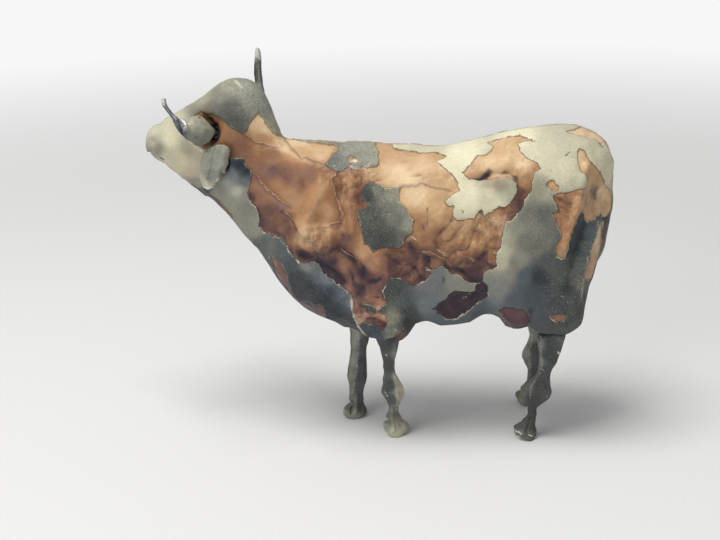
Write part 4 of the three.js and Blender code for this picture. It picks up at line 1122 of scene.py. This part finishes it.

# The lead castings, each with its outline in the photo (row, left, right), the crisp
# ridge between its flat faces, small forms (path, reach, mm raised), tones at a few
# places (x, y, light, cool, bare metal), where light holds the paint's tone with painted light,
# shade and highlights and cool a painted cool reflection, and bright chips (path, reach, strength)

castings = {
    "left_front_leg": {
        "name": "leftFrontLeg",
        "collarRise": 2.2,
        "rows": [
            (338, 374, 400), (345, 377, 398.5), (352, 380.5, 397), (360, 382.5, 395), (367, 383, 394.5),
            (374, 383.5, 396.5), (381, 382.5, 401), (387, 381.5, 403.5), (392, 381, 404.5),
            (395.5, 383.5, 403.5), (400.5, 386.5, 401), (404.5, 388, 399), (409, 388.5, 398.5),
            (411.5, 387.5, 398.5), (416, 385, 402), (420, 383, 407), (424, 383, 410), (427.5, 384.5, 409.5),
            (431, 388.5, 405.5), (434.5, 391, 402),
        ],
        "ridge": [(352, 395), (364, 394.3), (376, 394.7), (387, 396.7), (398, 398.3), (409, 397)],
        "ridgeSide": 1,
        "forms": [
            ([(392.5, 409), (393, 420), (394, 431)], 1.8, 0.4), ([(388, 417), (387.5, 427)], 2.4, -0.4),
            ([(400, 416), (402, 427)], 3, -0.4), ([(385, 391), (387, 395)], 2.2, 0.3),
        ],
        "tones": [
            (388, 345, 0.1, 0.7, 0), (389, 365, 0.12, 0.6, 0), (390, 385, 0.14, 0.5, 0),
            (392, 400, 0.2, 0.4, 0), (393, 412, 0.34, 0.2, 0), (389, 421, 0.42, 0, 0),
            (403, 424, 0.62, 0, 0), (397, 432, 0.78, 0, 0), (385, 427, 0.6, 0, 0), (402, 388, 0.85, 0, 0),
            (400, 380, 0.8, 0, 0), (401, 397, 0.7, 0, 0), (397.5, 352, 0.4, 0.3, 0),
            (397, 345, 0.3, 0.3, 0),
        ],
        "chips": [
            ([(385, 391), (388, 396)], 1.5, 0.55), ([(385.5, 354), (387, 357)], 1, 0.6),
            ([(391, 432), (403, 433)], 1.2, 0.5), ([(383.5, 374), (384, 377)], 0.8, 0.6),
        ],
    },
    "right_front_leg": {
        "name": "rightFrontLeg",
        "collarRise": 1.4,
        "rows": [
            (328, 349.5, 369.5), (337, 350, 369.5), (345, 350.5, 367), (353, 350, 366.5), (362, 349, 367),
            (368.5, 347.5, 367), (375.5, 347, 367), (381, 348, 366.5), (388, 349, 364),
            (393.5, 349.5, 363.5), (398, 348, 364), (403.5, 345.5, 365.5), (407.5, 343.5, 367),
            (411, 343, 367.5), (414.5, 345.5, 365), (417, 350, 360),
        ],
        "ridge": [(328, 358), (345, 359), (356, 358), (368, 357), (380, 354.5), (393, 352.5)],
        "ridgeSide": -1,
        "forms": [
            ([(357, 395), (356.5, 405), (356, 413)], 1.6, 0.35), ([(352, 402), (351.5, 414)], 1.2, -0.5),
            ([(361.5, 404), (362, 412)], 2, -0.3),
        ],
        "tones": [
            (352.5, 340, 0.52, 0.2, 0), (352, 360, 0.5, 0.2, 0), (350, 375, 0.42, 0.2, 0),
            (352, 390, 0.36, 0.2, 0), (364, 345, 0.2, 0.5, 0), (363, 362, 0.16, 0.6, 0),
            (361, 378, 0.14, 0.7, 0), (359, 390, 0.18, 0.6, 0), (347, 408, 0.3, 0.1, 0),
            (357, 402, 0.3, 0.4, 0), (363, 409, 0.22, 0.2, 0), (355, 415, 0.5, 0, 0), (344, 411, 0.5, 0, 0),
        ],
        "chips": [([(357, 396), (357, 400)], 1, 0.4), ([(353, 416), (360, 416)], 1, 0.4)],
    },
    "left_hind_leg": {
        "name": "leftHindLeg",
        "collarRise": 3.0,
        "rows": [
            (334, 538, 568), (338, 538, 567.5), (344, 538.5, 564.5), (350, 538.5, 562), (355.5, 539, 559.5),
            (361, 539, 556.5), (367, 538.5, 552.5), (373, 536, 550.5), (378.5, 531, 550),
            (384.5, 527, 550.5), (390, 525.5, 551.5), (396, 525.5, 550), (401.5, 526.5, 544),
            (407.5, 527.5, 538.5), (413.5, 527.5, 537), (417.5, 524.5, 536), (422, 515, 536),
            (426.5, 514, 536.5), (430.5, 515, 537), (435, 521, 536), (438, 528, 534),
        ],
        "ridge": [(334, 541), (350, 541), (367, 542), (372, 540.5), (380, 535), (388, 530.5), (398, 530)],
        "ridgeSide": -1,
        "forms": [
            ([(541, 368), (546, 374), (549, 384)], 1.4, 0.25),
            ([(524, 419), (519, 426), (517, 432)], 2, 0.3), ([(530, 419), (527, 431)], 1.6, -0.35),
            ([(553, 340), (552, 352)], 4, -0.2),
        ],
        "tones": [
            (551, 342, 0.1, 0.6, 0), (548, 356, 0.08, 0.7, 0), (546, 370, 0.12, 0.5, 0),
            (540, 385, 0.08, 0.4, 0), (536, 398, 0.06, 0.3, 0), (532, 412, 0.06, 0.3, 0),
            (564, 338, 0.3, 0.1, 0), (539, 345, 0.34, 0.4, 0), (540, 362, 0.38, 0.3, 0),
            (528, 384, 0.3, 0.2, 0), (548, 396, 0.16, 0.2, 0), (520, 425, 0.2, 0, 0),
            (532, 427, 0.1, 0.1, 0), (517, 433, 0.36, 0, 0), (530, 436, 0.3, 0, 0),
        ],
        "chips": [
            ([(558.5, 353), (560.5, 354.5)], 1.5, 1), ([(542, 368), (547, 374), (549, 383)], 0.8, 0.5),
            ([(516, 430), (521, 434)], 1.1, 0.9), ([(529, 435), (532, 436)], 1.2, 0.9),
            ([(547, 397), (549, 393)], 0.7, 0.4),
        ],
    },
    "right_hind_leg": {
        "name": "rightHindLeg",
        "collarRise": 1.6,
        "rows": [
            (328, 528, 545), (334, 530, 545), (344, 526.5, 545), (350, 523, 543), (357, 521.5, 541),
            (362.5, 524, 540), (368.5, 527.5, 541), (374, 527.5, 541), (380, 527, 540), (386, 520, 537),
            (391.5, 515, 534), (396, 517.5, 532), (399, 520, 530), (402.5, 524, 528),
        ],
        "ridge": [(328, 533), (344, 531), (357, 529), (368, 530.5), (380, 530)],
        "ridgeSide": -1,
        "tones": [
            (531, 335, 0.45, 0.3, 0), (525, 352, 0.5, 0.3, 0), (528, 366, 0.34, 0.3, 0),
            (535, 350, 0.12, 0.6, 0), (534, 370, 0.12, 0.5, 0), (518, 391, 0.34, 0.1, 0),
            (525, 398, 0.4, 0.1, 0),
        ],
    },
    "left_horn": {
        "name": "leftHorn",
        "edges": [
            (0, -1, [
                (105, 161.8), (107, 162.6), (109, 164.2), (113.6, 167.4), (119.4, 171.5), (125.3, 175),
                (131.2, 178), (135, 181),
            ], 12),
            (0, 1, [(103.5, 166.9), (106, 168.3), (109, 170.6), (113, 173.6)], 6),
            (1, -1, [(178, 116.5), (181, 118), (184, 119.5), (187, 120.6)], 6),
            (0, 1, [
                (118, 205.5), (121.8, 208.9), (126, 212), (130, 214.5), (134, 214), (138, 212.2),
                (141, 210.3), (145, 205.5),
            ], 30),
        ],
        "shownDepth": 5.5,
        "forms": [
            ([(177, 121), (184, 131)], 4, 0.45),
            ([(205, 117), (211, 121), (214.5, 129), (213, 137), (208, 144)], 1.6, 0.12),
            ([(184, 118), (186, 125), (189, 131)], 1.2, 0.2),
        ],
        "tones": [
            (191, 123, 0.68, 0, 0), (188.5, 129, 0.5, 0, 0), (187, 134, 0.42, 0.2, 0),
            (187, 122, 0.9, 0, 1), (184.5, 127.5, 0.6, 0, 1), (182.5, 133, 0.05, 0.9, 1),
            (180, 118.5, 0.9, 0, 1), (176, 121, 0.1, 0.9, 1), (198, 119, 0.7, 0, 0), (203, 120, 0.62, 0, 0),
            (208, 124, 0.56, 0, 0), (211, 130, 0.5, 0, 0), (208, 137, 0.44, 0, 0), (202, 142, 0.42, 0.2, 0),
            (196, 142, 0.36, 0.3, 0), (191, 137, 0.4, 0.2, 0), (190, 128, 0.64, 0, 0),
            (195, 125, 0.68, 0, 0), (200, 130, 0.64, 0, 0), (204, 135, 0.5, 0, 0), (185, 123, 0.95, 0, 1),
            (184, 121, 0.8, 0, 1), (181, 124, 0.66, 0, 1), (178, 119, 0.6, 0.1, 1),
            (174, 115, 0.55, 0.2, 1), (171, 116, 0.12, 0.6, 1), (168, 109, 0.34, 0.3, 1),
            (166, 110, 0.12, 0.6, 1), (163, 103, 0.7, 0, 1), (177, 127, 0.04, 0.9, 1),
            (181, 130, 0.04, 0.9, 1), (184, 135, 0.1, 0.6, 0.6),
        ],
        # the first two are painted highlights on the horn's base, the others pale chips
        "chips": [
            ([(177, 117), (182, 119.5), (187, 122)], 1.4, 0.55), ([(180, 121), (186, 127)], 1.6, 0.5),
            ([(162.5, 101), (164, 103)], 1.4, 0.8), ([(210, 120), (214, 127), (214.5, 133)], 0.9, 0.5),
        ],
    },
    "right_horn": {
        "name": "rightHorn",
        "rows": [
            (48, 256, 259), (52, 255, 261), (58, 254.5, 261.5), (66, 254, 261.5), (75, 254, 262),
            (84, 255, 263), (92, 257, 265),
        ],
        "fade": (0.01, 10.0),
        "ridge": [(66, 258.5), (90, 260)],
        "ridgeSide": -1,
        "tones": [
            (258, 52, 0.8, 0, 0.6), (256, 64, 0.4, 0.1, 0.3), (260, 66, 0.24, 0.2, 0.2),
            (256, 80, 0.36, 0.1, 0.2), (261, 80, 0.22, 0.2, 0.2),
        ],
        "chips": [([(257, 48), (258, 54), (260, 59)], 1.8, 0.8)],
    },
    "left_ear": {
        "name": "leftEar",
        "edges": [
            (1, -1, [(205, 149), (210, 146), (217, 144.6), (224, 145), (229, 147)], 24),
            (1, 1, [
                (204, 188.5), (206, 190), (211.5, 189.5), (215.5, 187.5), (219, 182), (221.5, 177),
            ], 26),
        ],
        "rows": [
            (145, 211, 227), (147, 207.5, 229), (149.5, 205, 230), (153, 202.5, 229.5), (158, 201, 229.5),
            (164, 200, 228.5), (170.5, 199.3, 226), (177, 199.3, 222), (182, 200.8, 218.8), (185, 202, 217),
            (187.5, 203, 215.6), (189.5, 205, 212),
        ],
        "shownDepth": 4.2,
        "fade": (5.0, 6.0),
        "passes": 2,
        "forms": [
            ([(214, 148), (211, 165), (208, 180)], 0.9, -0.3), ([(206, 153), (205, 172)], 2.4, 0.2),
            ([(224, 150), (222, 163), (217, 178)], 1.8, 0.22), ([(208.5, 159), (209.5, 161)], 1.1, -0.25),
        ],
        "tones": [
            (205, 155, 0.6, 0.35, 0), (203, 165, 0.63, 0.35, 0), (204, 182, 0.74, 0, 0),
            (210, 152, 0.54, 0.35, 0), (211, 165, 0.54, 0.35, 0), (210, 178, 0.47, 0.3, 0),
            (219, 150, 0.5, 0.3, 0), (218, 162, 0.53, 0.3, 0), (214, 173, 0.45, 0.3, 0),
            (225, 152, 0.57, 0.2, 0), (216, 182, 0.58, 0, 0), (207, 188, 0.8, 0, 0),
        ],
        "chips": [
            ([(201, 184), (204, 188), (212, 188)], 1.5, 0.9), ([(205, 182), (206.5, 186)], 1.2, 0.6),
            ([(216, 182), (218.5, 178)], 1.1, 0.7), ([(200, 172), (200.5, 180)], 0.9, 0.5),
            ([(222, 170), (228, 156)], 0.7, 0.35),
        ],
    },
    "right_ear": {
        "name": "rightEar",
        "tones": [(0, 0, 0.42, 0.1, 0)],
    },
}
plainCasting = {
    "edges": [],
    "shownDepth": 40,  # mm behind its nearest point, within which a piece shows
    "rows": [],
    "fade": (6.0, 0.0),
    "passes": 1,
    "ridge": [],
    "forms": [],
    "chips": [],
}
castLead = {
    "voxels": ((0.16, 2), (0.14, 1)),
    "handMarks": ((2.2, 0.06), (0.9, 0.02)),
    "seenFrom": (0.0, 0.2),
    "flatness": 0.85,
    "faceSlope": 1.1,  # how far the side face falls back, mm per mm
    "faceStep": 2.0,  # pixels from one measured row to the next
    "faceShare": 96,  # percent of a row's points that lie behind its face
    "faceFade": (4, 8),
    "collarSwell": 0.4,
    "collarFrom": 17.5,  # mm above the floor, where a leg widens under the clay
    "collarTo": 21.5,
    "toneSoftness": 4.0,
    "edgeWear": 0.5,
    "edgeWearReach": 0.8,
}


def flattenFaces(points, normals, casting):
    ridge = np.array(casting["ridge"], float)
    first, last = ridge[0, 0], ridge[-1, 0]
    pixels = toPhoto(points)
    places = np.arange(first, last + 1, castLead["faceStep"])
    depth = points @ outward
    nearest = []
    for place in places:
        near = np.abs(pixels[:, 1] - place) < castLead["faceStep"]
        nearest.append(np.percentile(depth[near], castLead["faceShare"]) if near.any() else np.nan)
    nearest = np.array(nearest)
    known = ~np.isnan(nearest)
    nearest = np.interp(places, places[known], nearest[known])
    nearest = np.convolve(np.pad(nearest, 2, mode="edge"), np.ones(5) / 5, mode="valid")
    face = np.interp(pixels[:, 1], places, nearest)
    ridgeAt = np.interp(pixels[:, 1], ridge[:, 0], ridge[:, 1])
    beyond = casting["ridgeSide"] * (pixels[:, 0] - ridgeAt) / pixelsPerMm
    face = face - np.maximum(beyond, 0) * mm * castLead["faceSlope"]
    above, below = castLead["faceFade"]
    inRange = ramp(first - above, first, pixels[:, 1]) * ramp(last + below, last, pixels[:, 1])
    share = castLead["flatness"] * ramp(0.1, 0.5, normals @ outward) * inRange
    return points + ((face - depth) * share)[:, None] * outward


def fitCasting(points, normals, casting):
    depth = points @ outward
    shown = depth > depth.max() - casting["shownDepth"] * mm
    for across, side, targets, reach in casting["edges"]:
        points = fitEdge(points, across, side, targets, reach, shown)
    if casting["rows"]:
        for turn in range(casting["passes"]):
            points = fitRows(points, casting["rows"], casting["fade"], shown)
    if casting["ridge"]:
        points = flattenFaces(points, normals, casting)
    if "collarRise" in casting:
        collar = ramp(castLead["collarFrom"], castLead["collarTo"], points[:, 2] / mm)
        points[:, 2] += collar * casting["collarRise"] * mm
        points += (collar * castLead["collarSwell"] * mm)[:, None] * normals * (1, 1, 0)
    return points


def makeCasting(node, casting, material):
    casting = {**plainCasting, **casting}
    piece = copyOfNode(node, casting["name"])
    refine(piece, castLead["voxels"])
    moveMesh(piece, fitCasting(*readMesh(piece), casting))
    applyModifier(piece, "SMOOTH", factor=0.5, iterations=1)
    points, normals = readMesh(piece)
    pixels = toPhoto(points)
    seen = ramp(*castLead["seenFrom"], facingCamera(points, normals))
    lift = sumOfStrokes(pixels, casting["forms"]) * seen + handMarks(points, castLead["handMarks"])
    points = points + normals * lift[:, None] * mm
    points[:, 2] = np.maximum(points[:, 2], 0)
    moveMesh(piece, points)

    # tones with painted light, shade and highlights, and a painted cool reflection
    light, cool, metal = nearestTouches(pixels, casting["tones"], castLead["toneSoftness"])
    chip = strongestStroke(pixels, casting["chips"]) * seen
    worn = np.zeros(len(points))
    if casting["ridge"]:
        ridgeLine = [(x, y) for y, x in casting["ridge"]]
        worn = castLead["edgeWear"] * nearPath(pixels, ridgeLine, castLead["edgeWearReach"]) * seen
    storeOnPoints(piece, paintLight=light, paintCool=cool, bareMetal=metal, chip=chip, worn=worn)
    finishPiece(piece, node, material)


leadLook = {
    "noises": {"patchy": (1.6, 4.0, 0.6), "wear": (0.45, 3.0, 0.7), "ragged": (0.3, 2.0, 0.6)},
    "speckleSize": 0.16,
    "bump": 0.8,
    "paintTones": [(0.0, (0.022, 0.024, 0.022)), (0.25, (0.085, 0.088, 0.078)), (0.5, (0.24, 0.24, 0.19)),
                   (0.75, (0.45, 0.43, 0.31)), (1.0, (0.72, 0.68, 0.5))],
    # bare lead from dark to bright: the dark bluish end a painted reflection, the bright end a painted
    # highlight
    "leadTones": [(0.0, (0.035, 0.04, 0.052)), (0.5, (0.24, 0.25, 0.26)), (1.0, (0.75, 0.75, 0.70))],
    "paintDots": [(0.0, (0.5, 0.5, 0.5)), (1.0, (1.3, 1.3, 1.25))],
    # a painted cool reflection
    "cool": (0.75, 0.88, 1.15),
    "fleck": (0.62, 0.6, 0.5),
    "chip": (0.66, 0.65, 0.56),
    "metalShare": 0.6,
    "metalRoughness": 0.34,
}


def makeWornLead():
    material, desk, shader, where = newMaterial("wornLead")
    look = leadLook
    noises = desk.noises(where, look["noises"])
    fine, flecks = speckle(desk, where, look["speckleSize"])
    patchy = noises["patchy"]
    # the tone carries painted light, shade and highlights
    light = desk.plus(desk.attribute("paintLight"), desk.swing(patchy, 0.3))
    paint = desk.layers(
        desk.blendColours(light, look["paintTones"]),
        (desk.times(desk.attribute("paintCool"), 0.6), look["cool"], "MULTIPLY"),
        (0.5, desk.blendColours(fine, look["paintDots"]), "MULTIPLY"),
    )
    metal = desk.step(desk.plus(desk.attribute("bareMetal"), desk.times(patchy, 0.4)), 0.62, 0.78)
    wear = desk.times(desk.attribute("worn"), desk.step(noises["wear"], 0.42, 0.68))
    ragged = desk.plus(desk.attribute("chip"), desk.swing(noises["ragged"], 1.6))
    chipped = desk.times(desk.step(ragged, 0.45, 0.7), 0.8)
    surface = desk.layers(
        desk.mix(metal, paint, desk.blendColours(light, look["leadTones"])),
        (desk.times(flecks, 0.4), look["fleck"]),
        (desk.maths("MAXIMUM", wear, chipped), look["chip"]),
    )
    desk.feed(shader, "Base Color", surface)
    desk.feed(shader, "Metallic", desk.times(metal, look["metalShare"]))
    paintRough = desk.step(patchy, 0.2, 0.8, 0.45, 0.65)
    desk.feed(shader, "Roughness", desk.mixValues(metal, paintRough, look["metalRoughness"]))
    desk.bump(shader, desk.plus(desk.times(fine, 0.03), desk.times(patchy, 0.12)), look["bump"])
    return material


wornLead = makeWornLead()
for node, casting in castings.items():
    makeCasting(node, casting, wornLead)
print("castings made")

# The plaster in the holes

plasterLook = {
    "speckleSize": 0.25,
    "tones": [(0.0, (0.03, 0.024, 0.02)), (1.0, (0.09, 0.075, 0.06))],  # dark as painted shade, since it shows only deep in the holes
    "roughness": 0.9,
    "tooth": 0.05,
}


def makeSetPlaster():
    material, desk, shader, where = newMaterial("setPlaster")
    fine, _ = speckle(desk, where, plasterLook["speckleSize"])
    desk.feed(shader, "Base Color", desk.blendColours(fine, plasterLook["tones"]))
    desk.feed(shader, "Roughness", plasterLook["roughness"])
    desk.bump(shader, desk.times(fine, plasterLook["tooth"]))
    return material


setPlaster = makeSetPlaster()
for node in castings:
    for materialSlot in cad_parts[f"{node}_plaster"].material_slots:
        materialSlot.material = setPlaster
print("plaster finished")

# The studio

studio = {
    "floorSize": 6.0,
    "floorColour": (0.80, 0.79, 0.77, 1),
    "floorRoughness": 0.9,
    "floorTooth": 0.05 * mm,
    "skyColour": (0.95, 0.97, 1.0, 1),
    "skyStrength": 0.36,
    "shownSkyStrength": 0.95,
    "fadeFrom": 0.16,
    "fadeTo": 0.55,
    "fadeStrength": 0.93,
    "lampsAim": (0, 0, 0.04),
    "lamps": {  # where, size and watts
        "topLamp": ((-0.12, -0.10, 0.60), 0.3, 2.6),
        "frontLamp": ((-0.45, -0.60, 0.30), 0.5, 2.0),
    },
}


def makeFloor():
    # paper that is white in the distance, where the camera or a glossy piece sees it
    bpy.ops.object.select_all(action="DESELECT")
    bpy.ops.mesh.primitive_plane_add(size=studio["floorSize"])
    floor = bpy.context.object
    floor.name = "studioFloor"
    material, desk, shader, where = newMaterial("studioPaper")
    desk.feed(shader, "Base Color", studio["floorColour"])
    desk.feed(shader, "Roughness", studio["floorRoughness"])
    desk.bump(shader, desk.noise(where, 1.2, 3.0), distance=studio["floorTooth"])
    reach = desk.add("VectorMath", {"operation": "LENGTH"})
    desk.feed(reach, "0", where)
    far = desk.step(reach.outputs["Value"], studio["fadeFrom"], studio["fadeTo"])
    path = desk.add("LightPath")
    shown = desk.maths("MAXIMUM", path.outputs["Is Camera Ray"], path.outputs["Is Glossy Ray"])
    glow = desk.add("Emission", Color=(1, 1, 1, 1), Strength=studio["fadeStrength"])
    blend = desk.add("MixShader", Fac=desk.times(far, shown))
    desk.tree.links.new(shader.outputs[0], blend.inputs[1])
    desk.tree.links.new(glow.outputs[0], blend.inputs[2])
    desk.tree.links.new(blend.outputs[0], desk.tree.nodes["Material Output"].inputs[0])
    floor.data.materials.append(material)


def makeSky():
    world = bpy.data.worlds.new("studioSky")
    bpy.context.scene.world = world
    world.use_nodes = True
    desk = NodeDesk(world.node_tree)
    background = world.node_tree.nodes["Background"]
    desk.feed(background, "Color", studio["skyColour"])
    path = desk.add("LightPath")
    strengths = (studio["skyStrength"], studio["shownSkyStrength"])
    desk.feed(background, "Strength", desk.step(path.outputs["Is Camera Ray"], 0.0, 1.0, *strengths))


def makeLamps():
    for name, (place, size, power) in studio["lamps"].items():
        place = Vector(place)
        bpy.ops.object.light_add(type="AREA", location=place)
        lamp = bpy.context.object
        lamp.name = name
        lamp.data.size = size
        lamp.data.energy = power
        aim = Vector(studio["lampsAim"]) - place
        lamp.rotation_euler = aim.to_track_quat("-Z", "Y").to_euler()


makeFloor()
makeSky()
makeLamps()
bpy.context.scene.view_settings.view_transform = "Standard"
print("studio set")
